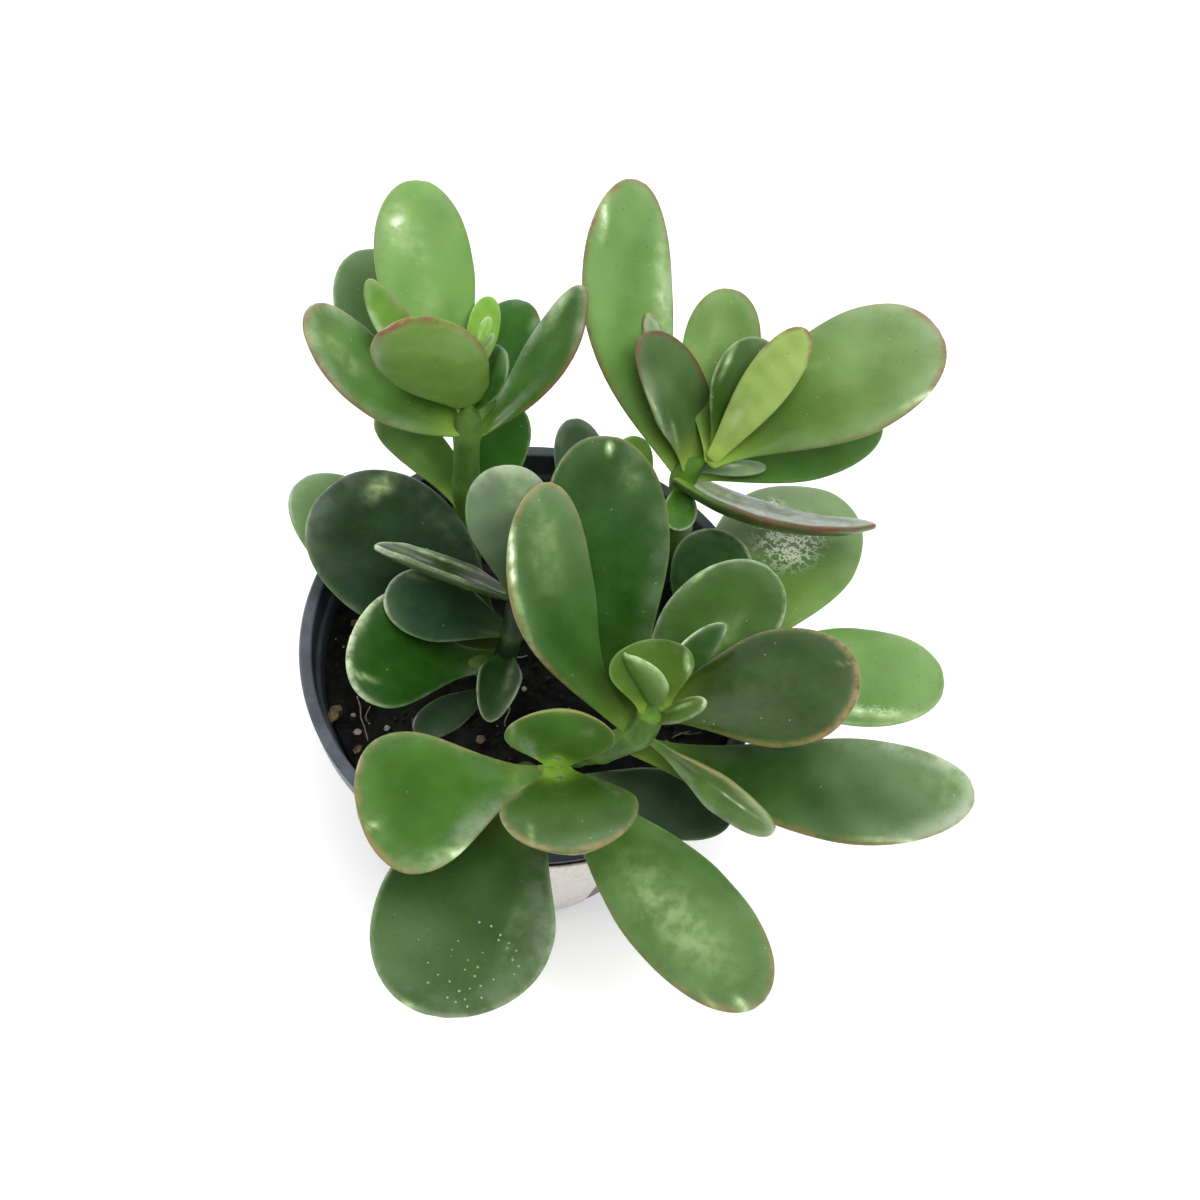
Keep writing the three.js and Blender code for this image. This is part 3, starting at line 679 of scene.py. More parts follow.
def leaf_material():
    shader = new_material("jade_leaf")
    broad = shader.ramp(shader.noise(70, 2.0), 0.35, 0.7)
    shaded = shader.mix(broad, shader.attribute("tint", "Color"), (222, 232, 214), "MULTIPLY")
    cloud = shader.ramp(shader.noise(170), 0.4, 0.75, 0.0, 0.35)
    clouded = shader.mix(cloud, shaded, (34, 46, 22), "ADD")
    fine = shader.ramp(shader.noise(520, 4.0, 0.6), 0.4, 0.7, 0.0, 0.3)
    mottled = shader.mix(fine, clouded, (26, 34, 18), "ADD")

    pores = shader.times(shader.dots(800, 0.28, 0.1, 0.2, 0.6), shader.attribute("pores"))
    dotted = shader.mix(pores, mottled, (34, 54, 22))
    flecked = shader.mix(shader.dots(560, 0.14, 0.05, 0.12, 0.3), dotted, (206, 222, 176))

    worn = shader.ramp(shader.noise(300, 5.0, 0.7), 0.35, 0.6, 0.25, 1.0)
    margin = shader.times(shader.attribute("edge"), worn)
    edged = shader.mix(margin, flecked, shader.attribute("edge_tint", "Color"))
    # whitish bloom, partly painted sheen, broken up by noise
    patchy = shader.ramp(shader.noise(160, 5.0, 0.6), 0.35, 0.65, 0.2, 1.0)
    with_bloom_and_sheen = shader.mix(shader.times(shader.attribute("frost"), patchy), edged, BLOOM_AND_SHEEN_WHITE)

    # painted highlights: soft sheen, then white cores, then thin squiggly lines of white
    ripples = shader.ramp(shader.noise(330, 2.0), 0.3, 0.7, 0.45, 1.0)
    glint = shader.times(shader.attribute("glint"), ripples)
    shining = shader.mix(shader.ramp(glint, 0.0, 0.6, 0.0, 0.7), with_bloom_and_sheen, SHEEN)
    highlighted = shader.mix(shader.ramp(glint, 0.4, 1.0), shining, HIGHLIGHT_WHITE)
    folds = shader.math("ABSOLUTE", shader.math("SUBTRACT", shader.noise(520, 2.5, 0.6), 0.5))
    lines = shader.times(shader.attribute("wet"), shader.ramp(folds, 0.02, 0.1, 1.0, 0.0))
    final = shader.mix(shader.ramp(lines, 0.1, 0.8, 0.0, 0.9), highlighted, HIGHLIGHT_WHITE)

    wrinkle = shader.times(shader.noise(1500, 3.0, 0.6), 0.25)
    relief = shader.math("ADD", wrinkle, shader.noise(260, 2.0))
    return shader.finish(
        Base_Color=final,
        Roughness=shader.ramp(shader.noise(350), 0.3, 0.7, 0.28, 0.42),
        Subsurface_Weight=0.2,
        Subsurface_Radius=(0.5, 1.0, 0.25),
        Subsurface_Scale=0.003,
        Coat_Weight=0.24,
        Coat_Roughness=0.16,
        Specular_IOR_Level=0.26,
        Normal=shader.bump(relief, 0.35, 0.0006),
    )


def stem_material():
    shader = new_material("jade_stem")
    grain = shader.noise(420, 4.0, 0.6, stretch=(1.0, 1.0, 0.35))
    tint = shader.attribute("tint", "Color")
    colour = shader.mix(shader.ramp(grain, 0.3, 0.7, 0.6, 0.0), tint, (200, 206, 178), "MULTIPLY")
    # lighter at the joints: partly the nodes' own paler skin, partly painted highlight on their
    # swelling
    joint = shader.times(shader.attribute("joint"), 0.5)
    return shader.finish(
        Base_Color=shader.mix(joint, colour, (72, 88, 28), "ADD"),
        Roughness=0.5,
        Subsurface_Weight=0.12,
        Subsurface_Radius=(0.5, 1.0, 0.25),
        Subsurface_Scale=0.002,
        Normal=shader.bump(grain, 0.5, 0.0008),
    )


def pot_material():
    shader = new_material("pot_plastic")
    grain = shader.noise(900, 3.0, 0.6)
    dust = shader.noise(70, 6.0, 0.65)
    specks = shader.ramp(shader.noise(1400, 2.0), 0.62, 0.72, 0.0, 0.25)
    # the greys are lighter than black plastic: its own dark grey with a painted sheen of the bright
    # room
    plain = shader.mix(shader.ramp(dust, 0.4, 0.75), (60, 65, 72), (84, 90, 98))
    return shader.finish(
        Base_Color=shader.mix(specks, plain, (128, 124, 116)),
        Roughness=shader.ramp(dust, 0.3, 0.7, 0.34, 0.52),
        Specular_IOR_Level=0.5,
        Normal=shader.bump(grain, 0.2, 0.0003),
    )


def label_material():
    shader = new_material("label_paper")
    fibre = shader.noise(1200, 4.0, 0.7, stretch=(1.0, 1.0, 0.2))
    stain = shader.ramp(shader.noise(45, 4.0, 0.6), 0.5, 0.8, 0.0, 0.5)
    paper = shader.mix(shader.ramp(fibre, 0.35, 0.65), (206, 200, 192), (222, 217, 209))
    colour = shader.mix(stain, paper, (188, 178, 164))
    return shader.finish(
        Base_Color=colour, Roughness=0.55, Normal=shader.bump(fibre, 0.15, 0.0002)
    )


def soil_material():
    shader = new_material("potting_soil")
    fine = shader.noise(1600, 4.0, 0.7)
    clods = shader.ramp(shader.noise(260, 6.0, 0.7), 0.35, 0.7)
    dark = shader.mix(clods, (12, 13, 13), (30, 30, 28))
    colour = shader.mix(shader.ramp(fine, 0.6, 0.78, 0.0, 0.4), dark, (76, 72, 64))
    return shader.finish(
        Base_Color=colour, Roughness=0.95, Normal=shader.bump(fine, 0.8, 0.001)
    )


def grain_material(name, dark, light, roughness):
    """For what lies in the soil: two colours mixed by a fine grain, and a rough skin."""
    shader = new_material(name)
    grain = shader.noise(1100, 5.0, 0.65)
    colour = shader.mix(shader.ramp(grain, 0.35, 0.65), dark, light)
    return shader.finish(
        Base_Color=colour, Roughness=roughness, Normal=shader.bump(grain, 0.6, 0.0006)
    )


def water_material():
    shader = new_material("water_drop")
    cloudy = shader.ramp(shader.noise(900), 0.3, 0.7)
    return shader.finish(
        Base_Color=shader.mix(cloudy, (170, 190, 168), (214, 224, 210)),
        Roughness=0.06,
        IOR=1.33,
        Transmission_Weight=0.5,
    )


# ---- pot


def wall_radius(z):
    """Radius of the pot's outer wall at a height."""
    top = POT.rim_radius - POT.rim_width - POT.ledge_width + POT.wall
    return POT.base_radius + (top - POT.base_radius) * z / BAND_FOOT


def inner_radius(z):
    return wall_radius(z) - POT.wall


def rounded(profile):
    """An outline of (radius, height, rounding) with each corner replaced by a small arc."""
    out = []
    for i, (r, z, rounding) in enumerate(profile):
        corner = Vector((r, z))
        if rounding == 0:
            out.append(corner)
            continue
        before = Vector(profile[i - 1][:2]) - corner
        after = Vector(profile[i + 1][:2]) - corner
        reach = min(rounding, before.length / 2, after.length / 2)
        start = corner + before.normalized() * reach
        end = corner + after.normalized() * reach
        for share in np.linspace(0, 1, ARC_POINTS):
            near = start.lerp(corner, share)
            far = corner.lerp(end, share)
            out.append(near.lerp(far, share))
    return out


def drill_holes(piece):
    """Cuts the drain holes through the pot's floor."""
    bores = []
    for i in range(DRAIN.count):
        turn = FULL_TURN * (i + 0.5) / DRAIN.count
        middle = DRAIN.circle_radius * np.array([math.cos(turn), math.sin(turn)])
        heights = (-DRAIN.overlap, POT.floor + DRAIN.overlap)
        ends = [circle(DRAIN.radius, DRAIN.sides, z, middle) for z in heights]
        bores.append(flat_tube(np.array(ends)))
    cutter = mesh_object("drill", *joined(bores), smooth=False)
    cut = piece.modifiers.new("drain", "BOOLEAN")
    cut.operation = "DIFFERENCE"
    cut.solver = "EXACT"
    cut.object = cutter
    bpy.context.view_layer.update()
    shape = piece.evaluated_get(bpy.context.evaluated_depsgraph_get())
    holed = bpy.data.meshes.new_from_object(shape)
    piece.modifiers.clear()
    piece.data = holed
    bpy.data.objects.remove(cutter)


def make_pot():
    """A body of revolution whose outline starts and ends on the axis."""
    ledge = POT.height - POT.ledge_drop
    ledge_foot = ledge - POT.ledge_height
    mouth = POT.rim_radius - POT.rim_width
    outline = rounded([
        (0, 0, 0),
        (POT.base_radius, 0, ROUNDING.base),
        (wall_radius(BAND_FOOT), BAND_FOOT, ROUNDING.band),
        (BAND_FOOT_RADIUS, BAND_FOOT, ROUNDING.band),
        (POT.rim_radius, POT.height, ROUNDING.rim),
        (mouth, POT.height, ROUNDING.rim),
        (mouth - POT.mouth_draft, ledge, ROUNDING.ledge),
        (inner_radius(ledge_foot), ledge_foot, ROUNDING.ledge),
        (inner_radius(POT.floor), POT.floor, ROUNDING.floor),
        (0, POT.floor, 0),
    ])
    rings = np.array([circle(p.x, POT.sides, p.y) for p in outline[1:-1]])
    shape = closed_tube(rings, (0, 0, outline[0].y), (0, 0, outline[-1].y))
    piece = mesh_object("pot_shell", *shape)
    drill_holes(piece)
    finish_piece(piece, pot_material(), "pot_plastic", "pot")


# ---- label


def under_label(z):
    """Radius of what the label lies on: the wall up to the fold, the band from its foot up."""
    if z <= LABEL.fold:
        return wall_radius(z)
    if z <= BAND_FOOT:
        share = (z - LABEL.fold) / (BAND_FOOT - LABEL.fold)
        return wall_radius(LABEL.fold) * (1 - share) + BAND_FOOT_RADIUS * share
    climb = (z - BAND_FOOT) / POT.band_height
    return BAND_FOOT_RADIUS + (POT.rim_radius - BAND_FOOT_RADIUS) * climb


def make_label():
    """A plain paper label with rounded corners, as level rings round its face and its back."""
    middle = (LABEL.bottom + LABEL.top) / 2
    tall = (LABEL.top - LABEL.bottom) / 2
    corner, across, up = LABEL.corner, LABEL.points_across, LABEL.points_up
    face_and_back = ((LABEL.gap + LABEL.thickness, 1), (LABEL.gap, -1))
    points = []
    for v in np.linspace(-1, 1, up):
        z = middle + v * tall
        into_corner = max(0, corner - (1 - abs(v)) * tall)
        inset = corner - math.sqrt(corner**2 - into_corner**2)
        for offset, way in face_and_back:
            radius = under_label(z) + offset
            reach = math.radians(LABEL.half_angle) - inset / radius
            turns = math.radians(LABEL.front) + way * reach * np.linspace(-1, 1, across)
            points += [(radius * math.cos(a), radius * math.sin(a), z) for a in turns]
    faces = ring_faces(up, 2 * across)
    top = (up - 1) * 2 * across
    for j in range(across - 1):
        mate = 2 * across - 1 - j
        faces.append((j, mate, mate - 1, j + 1))
        faces.append((top + j, top + j + 1, top + mate - 1, top + mate))
    piece = mesh_object("label_sheet", points, faces)
    finish_piece(piece, label_material(), "label", "label")


# ---- soil


def soil_height(x, y):
    """Height of the soil's surface: long waves and clods."""
    clods = noise.fractal(Vector((x, y, 0.0)) * CLODS.per_mm, *CLODS.fractal)
    height = SOIL.level + CLODS.height * clods
    for share, per_x, start_x, per_y, start_y in SOIL_WAVES:
        wave = math.sin(per_x * x + start_x) * math.sin(per_y * y + start_y)
        height += SOIL.relief * share * wave
    return height


def make_soil():
    sides = SOIL.sides
    floor = POT.floor + SOIL.clearance
    shoulder = SOIL.level - SOIL.shoulder
    radius = inner_radius(shoulder) - SOIL.clearance
    rings = [circle(inner_radius(floor) - SOIL.clearance, sides, floor)]
    rings.append(circle(radius, sides, shoulder))
    for i in range(SOIL.rings, 0, -1):
        ring = circle(radius * i / SOIL.rings, sides)
        ring[:, 2] = [soil_height(x, y) for x, y, _ in ring]
        rings.append(ring)
    shape = closed_tube(np.array(rings), (0, 0, floor), (0, 0, soil_height(0, 0)))
    finish_piece(mesh_object("soil_mix", *shape), soil_material(), "soil", "soil")


def lump_shape(splits=1):
    """A unit ball, as points and faces, that grains and drops are made from."""
    ball = bmesh.new()
    bmesh.ops.create_icosphere(ball, subdivisions=splits, radius=1.0)
    ball.verts.ensure_lookup_table()
    points = np.array([v.co[:] for v in ball.verts])
    faces = [tuple(v.index for v in f.verts) for f in ball.faces]
    ball.free()
    return points, faces


def stem_clearance(x, y):
    return min(math.hypot(x - s.path[0][0], y - s.path[0][1]) for s in STEMS)


def drawn_place(draw, reach):
    """A drawn place on the soil, within a distance of its middle."""
    radius = reach * math.sqrt(draw.random())
    turn = FULL_TURN * draw.random()
    return radius * math.cos(turn), radius * math.sin(turn)


def grain_points(draw, ball, flatness, x, y, long, wide, turn):
    """One irregular grain that lies in the soil's surface, made from a ball's points."""
    tip = Matrix.Rotation(draw.uniform(-GRAIN.tilt, GRAIN.tilt), 3, "X")
    lean = Matrix.Rotation(draw.uniform(-GRAIN.tilt, GRAIN.tilt), 3, "Y")
    spin = Matrix.Rotation(math.radians(turn), 3, "Z") @ tip @ lean
    seat = Vector((x, y, soil_height(x, y) + GRAIN.lift * wide * flatness))
    shift = Vector((draw.random(), draw.random(), draw.random())) * GRAIN.noise_shift
    half = Vector((long, wide, wide * flatness)) / 2
    points = []
    for p in ball:
        rough = 1 + GRAIN.roughness * noise.noise(Vector(p) * GRAIN.noise_scale + shift)
        points.append(seat + spin @ (Vector(p) * half * rough))
    return points


def scatter(name, count, sizes, flatness, material, seed, places=()):
    """Irregular grains on the soil, joined in one piece. places holds grains given one by one."""
    draw = random.Random(seed)
    ball, faces = lump_shape()
    reach = inner_radius(SOIL.level) - GRAIN.from_wall
    spots = list(places)
    while len(spots) < count + len(places):
        x, y = drawn_place(draw, reach)
        if stem_clearance(x, y) > GRAIN.from_stem:
            size = draw.uniform(*sizes)
            spots.append((x, y, size, size * draw.uniform(0.6, 1.0), draw.uniform(0, 360)))
    grains = [(grain_points(draw, ball, flatness, *spot), faces) for spot in spots]
    piece = mesh_object(name, *joined(grains), smooth=False)
    finish_piece(piece, material, "soil")


def fibre_line(draw, reach):
    """A drawn line of bends on the soil."""
    line = [drawn_place(draw, reach)]
    heading = FULL_TURN * draw.random()
    for _ in range(FIBRE.steps):
        heading += draw.uniform(-FIBRE.bend, FIBRE.bend)
        step = draw.uniform(*FIBRE.step)
        x, y = line[-1]
        line.append((x + step * math.cos(heading), y + step * math.sin(heading)))
    return line


def fibre_shape(draw, line):
    """A thin tube along a line on the soil."""
    thick = draw.uniform(*FIBRE.radius)
    rings = []
    for i, (x, y) in enumerate(line):
        lift = draw.uniform(*FIBRE.lift)
        x2, y2 = line[min(i + 1, len(line) - 1)]
        x1, y1 = line[max(i - 1, 0)]
        side = Vector((y1 - y2, x2 - x1, 0)).normalized()
        section = circle(thick * (1 - 0.5 * i / len(line)), FIBRE.sides)
        middle = (x, y, soil_height(x, y) + lift)
        rings.append(middle + np.outer(section[:, 0], side) + np.outer(section[:, 1], (0, 0, 1)))
    return flat_tube(np.array(rings))


def make_fibres(name, count, seed, places=()):
    """Thin bent rootlets and twigs that lie on the soil."""
    draw = random.Random(seed)
    reach = inner_radius(SOIL.level) - FIBRE.from_wall
    lines = list(places)
    while len(lines) < count + len(places):
        line = fibre_line(draw, reach)
        if min(stem_clearance(*p) for p in line) > FIBRE.from_stem:
            lines.append(line)
    piece = mesh_object(name, *joined(fibre_shape(draw, line) for line in lines))
    finish_piece(piece, grain_material("dry_root", (128, 112, 88), (176, 164, 140), 0.8), "soil")


def make_soil_litter():
    """What lies on the soil: crumbs, perlite, bark and roots, with those that the eye finds
    first listed one by one, each grain by its place, length, width and turn."""
    crumb = grain_material("soil_crumb", (16, 16, 15), (42, 40, 36), 0.95)
    scatter("soil_crumbs", 620, (0.6, 1.9), 0.7, crumb, 11)
    perlite = grain_material("perlite", (120, 116, 108), (176, 172, 162), 0.85)
    seen = [
        (-38.6, -24.0, 2.3, 1.7, 20), (-32.6, -27.1, 2.6, 1.8, 80), (-40.3, -19.9, 1.6, 1.2, 0),
        (-31.8, -22.4, 1.8, 1.5, 50), (-13.6, -16.0, 2.2, 1.6, 10),
    ]
    scatter("soil_perlite", 34, (0.5, 1.5), 0.7, perlite, 12, seen)
    bark = grain_material("bark_chip", (70, 58, 44), (118, 102, 80), 0.85)
    chips = [
        (-44.5, -20.2, 6.0, 3.6, 70), (-18.1, -14.8, 5.0, 3.0, 20), (-23.0, -19.0, 3.4, 2.2, 130),
    ]
    scatter("soil_bark", 16, (1.4, 3.4), 0.4, bark, 13, chips)
    twig = [(-40.2, -15.2), (-39.0, -17.6), (-38.4, -20.4), (-37.0, -23.0), (-35.6, -26.2)]
    make_fibres("soil_fibres", 30, 14, [twig])


# ---- stems


def stem_point(path, at):
    """A point on the smooth path through the stem's joints, for each value of at."""
    joints = np.array(path, float)
    last = len(joints) - 1
    joints = np.concatenate([[2 * joints[0] - joints[1]], joints, [2 * joints[-1] - joints[-2]]])
    at = np.atleast_1d(np.asarray(at, float))
    index = np.minimum(np.floor(at).astype(int), last - 1)
    share = (at - index)[:, None]
    p0, p1, p2, p3 = (joints[index + k] for k in range(4))
    second = (2 * p0 - 5 * p1 + 4 * p2 - p3) * share**2
    third = (-p0 + 3 * p1 - 3 * p2 + p3) * share**3
    return 0.5 * (2 * p1 + (p2 - p0) * share + second + third)


def make_stem(stem, material):
    last = len(stem.path) - 1
    thins, thin, ends = stem.apex
    at = np.linspace(0, ends, math.ceil(ends * STEM_STEPS_PER_JOINT) + 1)
    centres = stem_point(stem.path, at)
    along = np.gradient(centres, axis=0)
    along[at < 1] = (0, 0, 1)
    along /= np.linalg.norm(along, axis=1, keepdims=True)
    side = np.cross((0, 1, 0), along)
    side /= np.linalg.norm(side, axis=1, keepdims=True)
    front = np.cross(along, side)
    joint = np.zeros_like(at)
    for k in range(2, last + 1):
        joint = np.maximum(joint, np.exp(-(((at - k) / NODE_SPREAD) ** 2)))
    lower, upper = stem.radius
    radius = (lower + (upper - lower) * at / last) * (1 + NODE_SWELL * joint)
    radius = radius * (1 - APEX_THINNING * smoothstep(thins, thin, at))
    a = np.linspace(0, FULL_TURN, STEM_SIDES, endpoint=False)[None, :, None]
    way = at[:, None, None]
    lumps = 1 + STEM_LUMPS * np.sin(3 * a + 2.1 * way) * np.sin(1.7 * way)
    reach = radius[:, None, None] * lumps
    rings = centres[:, None] + reach * (np.cos(a) * side[:, None] + np.sin(a) * front[:, None])
    end = centres[-1]
    rise = along[-1] * radius[-1] * APEX_HEIGHT
    caps = [end + (rings[-1] - end) * narrow + rise * share for narrow, share in DOME]
    points, faces = closed_tube(np.concatenate([rings, caps]), centres[0], end + rise)
    piece = mesh_object(stem.name + "_stalk", points, faces)
    # darker towards the foot tone near the soil: partly the stalk's own colour, partly painted shade
    upper_tone = smoothstep(*TONE_HEIGHTS, points[:, 2])[:, None]
    foot_green, top_green = (linear(STALKS[tone]) for tone in stem.tones)
    add_colours(piece, "tint", foot_green * (1 - upper_tone) + top_green * upper_tone)
    rows = np.concatenate([joint, [joint[-1]] * len(caps)])
    swells = np.concatenate([np.repeat(rows, STEM_SIDES), [joint[0], joint[-1]]])
    add_numbers(piece, "joint", swells)
    finish_piece(piece, material, "plant", stem.name)


# ---- leaves


def leaf_outline(t, look):
    """Half width of a leaf along its length, as a share of its widest half."""
    u = np.clip(t / look.peak, 0, 1)
    v = np.clip((t - look.peak) / (1 - look.peak), 0, 1)
    lower = look.neck + (1 - look.neck) * (u * u * (3 - 2 * u)) ** look.taper
    upper = np.sqrt(1 - v**look.blunt)
    return np.where(t < look.peak, lower, upper)


def arc(degrees, t):
    """Place and slope of a chord of length 1 that is curved into an arc of some degrees."""
    angle = math.radians(degrees)
    if degrees == 0:
        return t, 0 * t, 0 * t
    slope = angle * (t - 0.5)
    chord = 2 * math.sin(angle / 2)
    along = (np.sin(slope) + math.sin(angle / 2)) / chord
    off = (math.cos(angle / 2) - np.cos(slope)) / chord
    return along, off, slope


def leaf_frame(look):
    """The directions along the leaf, to its left and out of its upper face."""
    turn, rise, roll = map(math.radians, (look.turn, look.rise, look.roll))
    level = math.cos(rise)
    along = np.array([level * math.cos(turn), level * math.sin(turn), math.sin(rise)])
    left = np.array([-math.sin(turn), math.cos(turn), 0])
    up = np.cross(along, left)
    across = left * math.cos(roll) + up * math.sin(roll)
    face = up * math.cos(roll) - left * math.sin(roll)
    return along, across, face


def waves(draw, x, y, spans):
    """Gentle unevenness: a few sine waves in drawn directions, about -1 to 1."""
    total = 0
    for span in spans:
        heading = draw.uniform(0, FULL_TURN)
        start = draw.uniform(0, FULL_TURN)
        distance = x * math.cos(heading) + y * math.sin(heading)
        total = total + np.sin(distance * FULL_TURN / span + start)
    return total / len(spans)


def margin_distance(x, y, look):
    """Distance in mm from points on the blade to its outline, measured in the flat blade."""
    t = 1 - np.linspace(0, 1, MARGIN_POINTS) ** 2
    edge_x = np.concatenate([t, t]) * look.length
    half = leaf_outline(t, look) * look.width / 2
    edge_y = np.concatenate([half, -half])
    gaps = np.hypot(x.reshape(-1, 1) - edge_x, y.reshape(-1, 1) - edge_y)
    return gaps.min(axis=1).reshape(x.shape)


def patch_cover(patches, spot, look):
    """How strongly the patches cover each point of the leaf's upper face."""
    cover = 0 * spot.x
    upper = smoothstep(-0.3, 0.1, spot.sine)
    for place, side, long, wide, strength in patches:
        off_along = (spot.x - place * look.length) / long
        off_across = (spot.y - side * look.width / 2) / wide
        cover = np.maximum(cover, upper * strength * np.exp(-(off_along**2 + off_across**2)))
    return cover


def leaf_shape(look, draw):
    """The leaf's skin as rings in its own axes, and each point's spot on the flat blade.

    t runs along the blade. sine and cosine tell where round the blade's section the point is.
    """
    length, width = look.length, look.width
    thickness = LEAF_THICKNESS.share * length + LEAF_THICKNESS.base
    steps = np.linspace(0, 1, LEAF_STATIONS)[:-1]
    blade_t = 0.35 * steps + 0.65 * np.sin(steps * math.pi / 2)
    a = np.linspace(0, FULL_TURN, LEAF_SIDES, endpoint=False)[None]
    t = np.concatenate([[0.0] * len(DOME), blade_t])[:, None] + 0 * a
    narrow, back = np.array([*reversed(DOME), *[(1.0, 0.0)] * len(blade_t)]).T[..., None]
    sine, cosine = np.sin(a) + 0 * t, np.cos(a) + 0 * t
    outline = leaf_outline(t, look)
    half = width / 2 * outline
    foot = min(half[0, 0], LEAF_FOOT)
    x = length * t - foot * back
    y = half * narrow * np.sign(cosine) * np.abs(cosine) ** EDGE_FULLNESS
    uneven = waves(draw, x, y, [span * width for span in LUMPS.spans])
    lumps = LUMPS.height * width * uneven * smoothstep(0.1, 0.4, t)
    groove = np.exp(-((y / (GROOVE.width * width)) ** 2)) * (1 - smoothstep(0.15, 0.7, t))
    groove = groove * GROOVE.depth * width * np.clip(sine, 0, 1) * smoothstep(0, 0.12, t)
    depth = thickness / 2 * outline**THINNING
    face = depth * sine * np.where(sine > 0, UPPER_FACE, 1)
    face = face + look.cup * half * cosine**2
    face = (face + lumps - groove) * narrow

    up_along, up_off, up_slope = arc(look.bend, t)
    _, side_off, side_slope = arc(look.sweep, t)
    along = length * up_along - foot * back
    along = along - face * np.sin(up_slope) - y * np.sin(side_slope)
    across = length * side_off + y * np.cos(side_slope)
    out = length * up_off + face * np.cos(up_slope)
    spot = Values(t=t, x=x, y=y, sine=sine, cosine=cosine, uneven=uneven)
    return np.stack([along, across, out], axis=-1), foot, spot


def with_ends(values, at_base, at_tip):
    """The values of all the rings' points, and after them those of the two end points."""
    ends = np.array([at_base, at_tip], float).reshape(2, *values.shape[2:])
    return np.concatenate([values.reshape(-1, *values.shape[2:]), ends])


def paint_blade(piece, spot, stem, look, draw):
    """The leaf's green, bright at its neck and dull on its back, with a painted sheen that makes
    its tip paler and greyer and painted shade that darkens it towards its base.
    """
    t = spot.t[..., None]
    uneven = spot.uneven[..., None]
    top = smoothstep(-0.2, 0.5, spot.sine)[..., None]
    # the darkest greens and low shades are partly painted shade under the canopy
    green = linear(GREENS[look.green]) * look.shade
    lighter = draw.uniform(-LIGHTER, LIGHTER)
    # painted sheen: the tip's half turns paler and greyer, as the bright room's reflection would make
    # it
    haze = look.haze * smoothstep(0.35, 0.95, t + 0.12 * uneven)
    blade = green * (1 + lighter + UNEVEN_TINT * uneven)
    blade = blade * (1 - haze) + linear(TIP_SHEEN_GREY) * haze
    # painted shade: darker from the middle of the leaf towards its base, where leaves above shade it
    blade = blade * (1 - NECK_SHADE * (1 - smoothstep(0.1, 0.5, t + 0.05 * uneven)))
    near_neck = stem.glow * np.exp(-((t / NECK_GLOW) ** 2))
    blade = blade * (1 - near_neck) + (0.75 * linear(NECK_GREEN) + 0.3 * green) * near_neck
    back = 0.35 * linear(BACK_GREEN) + 0.6 * green
    tint = blade * top + back * (1 - top)
    add_colours(piece, "tint", with_ends(tint, tint[0, 0], tint[-1, 0]))


def paint_margin(piece, spot, look):
    """The coloured edge, and the whitish bloom with painted sheen inside it."""
    width = look.width
    gap = margin_distance(spot.x, spot.y, look)
    leftness = smoothstep(-0.4, 0.4, spot.y / (width / 2))
    tipness = smoothstep(0.6, 1.0, spot.t)
    top = smoothstep(-0.2, 0.5, spot.sine)

    def by_side(left, right, at_tip):
        sides = left * leftness + right * (1 - leftness)
        return sides * smoothstep(0.1, 0.45, spot.t) * (1 - tipness) + at_tip * tipness

    colour, *shares = look.edge
    edge = by_side(*shares)
    band = (0.3 + 0.02 * width) * (0.6 + 1.2 * edge)
    edge = edge * (1 - smoothstep(0.2 * band, 1.4 * band, gap))
    add_numbers(piece, "edge", with_ends(edge, 0, shares[2]))
    edge_tint = np.broadcast_to(linear(EDGES[colour]), (*edge.shape, 3))
    add_colours(piece, "edge_tint", with_ends(edge_tint, edge_tint[0, 0], edge_tint[0, 0]))

    # whitish bloom near the margin, partly painted sheen
    frost = 0.5 * by_side(*look.frost) * (1 - smoothstep(0.3, 0.2 * width + 0.6, gap))
    add_numbers(piece, "frost", with_ends(frost * (0.3 + 0.7 * top), 0, 0.5 * look.frost[2]))
    pores = (0.15 + 0.6 * smoothstep(0.35, 0.9, spot.t)) * (0.4 + 0.6 * top)
    add_numbers(piece, "pores", with_ends(pores, 0, 0.5))


def make_leaf(stem, number, look, material):
    draw = random.Random(stem.name + str(number))
    base = stem_point(stem.path, look.at)[0]
    axes = np.array(leaf_frame(look))
    local, foot, spot = leaf_shape(look, draw)
    rings = base + local @ axes
    shape = closed_tube(rings, base - foot * axes[0], base + look.length * axes[0])
    name = "{}_leaf_{:02d}".format(stem.name, number + 1)
    piece = mesh_object(name, *shape)
    paint_blade(piece, spot, stem, look, draw)
    paint_margin(piece, spot, look)
    # painted highlights: patches, and thin squiggly lines
    for layer, patches in (("glint", look.glints), ("wet", look.wet)):
        cover = patch_cover(patches, spot, look)
        add_numbers(piece, layer, with_ends(cover, 0, cover[-1].mean()))
    finish_piece(piece, material, "plant", stem.name)
    if look.drops:
        make_drops(name + "_drops", look.drops, rings, spot, axes[2])


def make_drops(name, drops, rings, spot, face_way):
    """Beads of water that sit on a leaf's upper face, half sunk in its skin."""
    ball, ball_faces = lump_shape(2)
    squash = np.eye(3) - DROP_SQUASH * np.outer(face_way, face_way)
    beads = []
    for place, side, radius in drops:
        off = np.hypot(spot.t - place, spot.cosine - side) + (spot.sine < 0)
        middle = rings[np.unravel_index(off.argmin(), off.shape)]
        beads.append((middle + radius * ball @ squash, ball_faces))
    finish_piece(mesh_object(name, *joined(beads)), water_material(), "plant")


def make_plant():
    leaf_skin = leaf_material()
    stem_skin = stem_material()
    for stem in STEMS:
        make_stem(stem, stem_skin)
        for number, look in enumerate(stem.leaves):
            make_leaf(stem, number, look, leaf_skin)


# ---- floor, light and camera


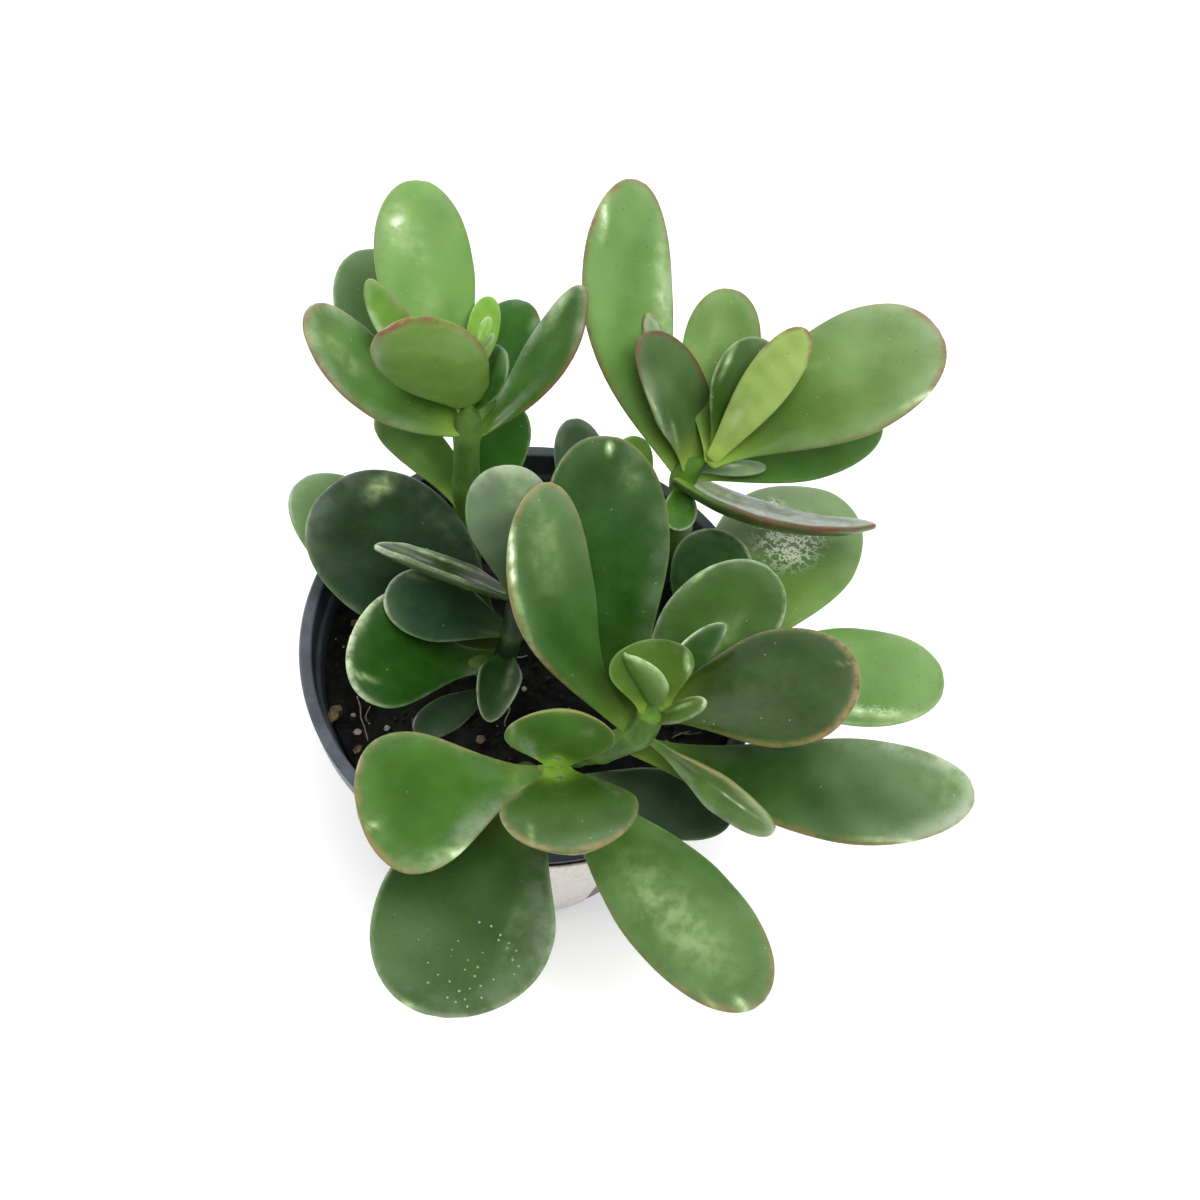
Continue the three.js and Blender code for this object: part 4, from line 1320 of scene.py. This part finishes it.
def make_floor():
    """A white floor that glows a little, and far off more, but only as the camera sees it."""
    size = FLOOR.size
    corners = [(-size, -size, 0), (size, -size, 0), (size, size, 0), (-size, size, 0)]
    floor = mesh_object("studio_floor", corners, [(0, 1, 2, 3)])
    shader = new_material("studio_white")
    tone = shader.mix(shader.ramp(shader.noise(6.0), 0.3, 0.7), (246, 246, 246), (250, 250, 250))
    outward = shader.node("VectorMath", {0: shader.places["Object"]}, operation="LENGTH")["Value"]
    far = shader.ramp(outward, *FLOOR.far, 0.0, FLOOR.far_glow)
    seen = shader.node("LightPath")["Is Camera Ray"]
    glow = shader.math("ADD", shader.times(far, seen), FLOOR.glow)
    white = shader.finish(
        Base_Color=tone, Roughness=0.9, Emission_Color=tone, Emission_Strength=glow
    )
    floor.data.materials.append(white)


def make_light(name, place, target, size, power, glossy=True):
    lamp = bpy.data.lights.new(name, "AREA")
    lamp.shape = "RECTANGLE"
    lamp.size, lamp.size_y = (s * MM for s in size)
    lamp.energy = power
    light = bpy.data.objects.new(name, lamp)
    light.location = Vector(place) * MM
    light.visible_glossy = glossy
    aim = Vector(target) - Vector(place)
    light.rotation_euler = aim.to_track_quat("-Z", "Y").to_euler()
    bpy.context.scene.collection.objects.link(light)


def make_lights():
    """A soft ceiling that leaves no reflections, and a window that does."""
    make_light("ceiling", (300, -150, 1300), (0, 0, 80), (1200, 1200), 27.0, glossy=False)
    make_light("window_left", (-850, 420, 620), (0, 0, 110), (300, 420), 4.0)


def make_room():
    """The world: lit from behind the plant, and plain white where the camera sees it."""
    world = bpy.data.worlds.new("studio")
    bpy.context.scene.world = world
    shader = Shader(world)
    brightest = Vector(ROOM.brightest).normalized()
    inputs = {0: shader.places["Generated"], 1: brightest}
    towards = shader.node("VectorMath", inputs, operation="DOT_PRODUCT")["Value"]
    lit = (ROOM.dark_below, ROOM.bright_above, ROOM.dark, ROOM.bright)
    room = shader.ramp(towards, *lit)
    seen = shader.node("LightPath")["Is Camera Ray"]
    shown = shader.node("Mix", {0: seen, 2: room, 3: 1.0})[0]
    shader.finish("Background", Color=(1.0, 1.0, 1.0, 1.0), Strength=shown)


def make_camera():
    rise, roll = math.radians(CAMERA.elevation), math.radians(CAMERA.roll)
    look = Vector((0, math.cos(rise), -math.sin(rise)))
    right = Vector((1, 0, 0))
    up = Vector((0, math.sin(rise), math.cos(rise)))
    side = right * math.cos(roll) + up * math.sin(roll)
    top = up * math.cos(roll) - right * math.sin(roll)
    lens = bpy.data.cameras.new("camera")
    lens.lens = CAMERA.lens
    lens.sensor_width = CAMERA.sensor
    lens.clip_start, lens.clip_end = CAMERA.clip
    camera = bpy.data.objects.new("camera", lens)
    place = (Vector(CAMERA.target) - look * CAMERA.distance) * MM
    turn = Matrix((side, top, -look)).transposed().to_4x4()
    camera.matrix_world = Matrix.Translation(place) @ turn
    bpy.context.scene.collection.objects.link(camera)
    bpy.context.scene.camera = camera


make_camera()
make_pot()
make_label()
make_soil()
make_soil_litter()
make_plant()
make_floor()
make_lights()
make_room()
bpy.context.scene.view_settings.view_transform = "Standard"
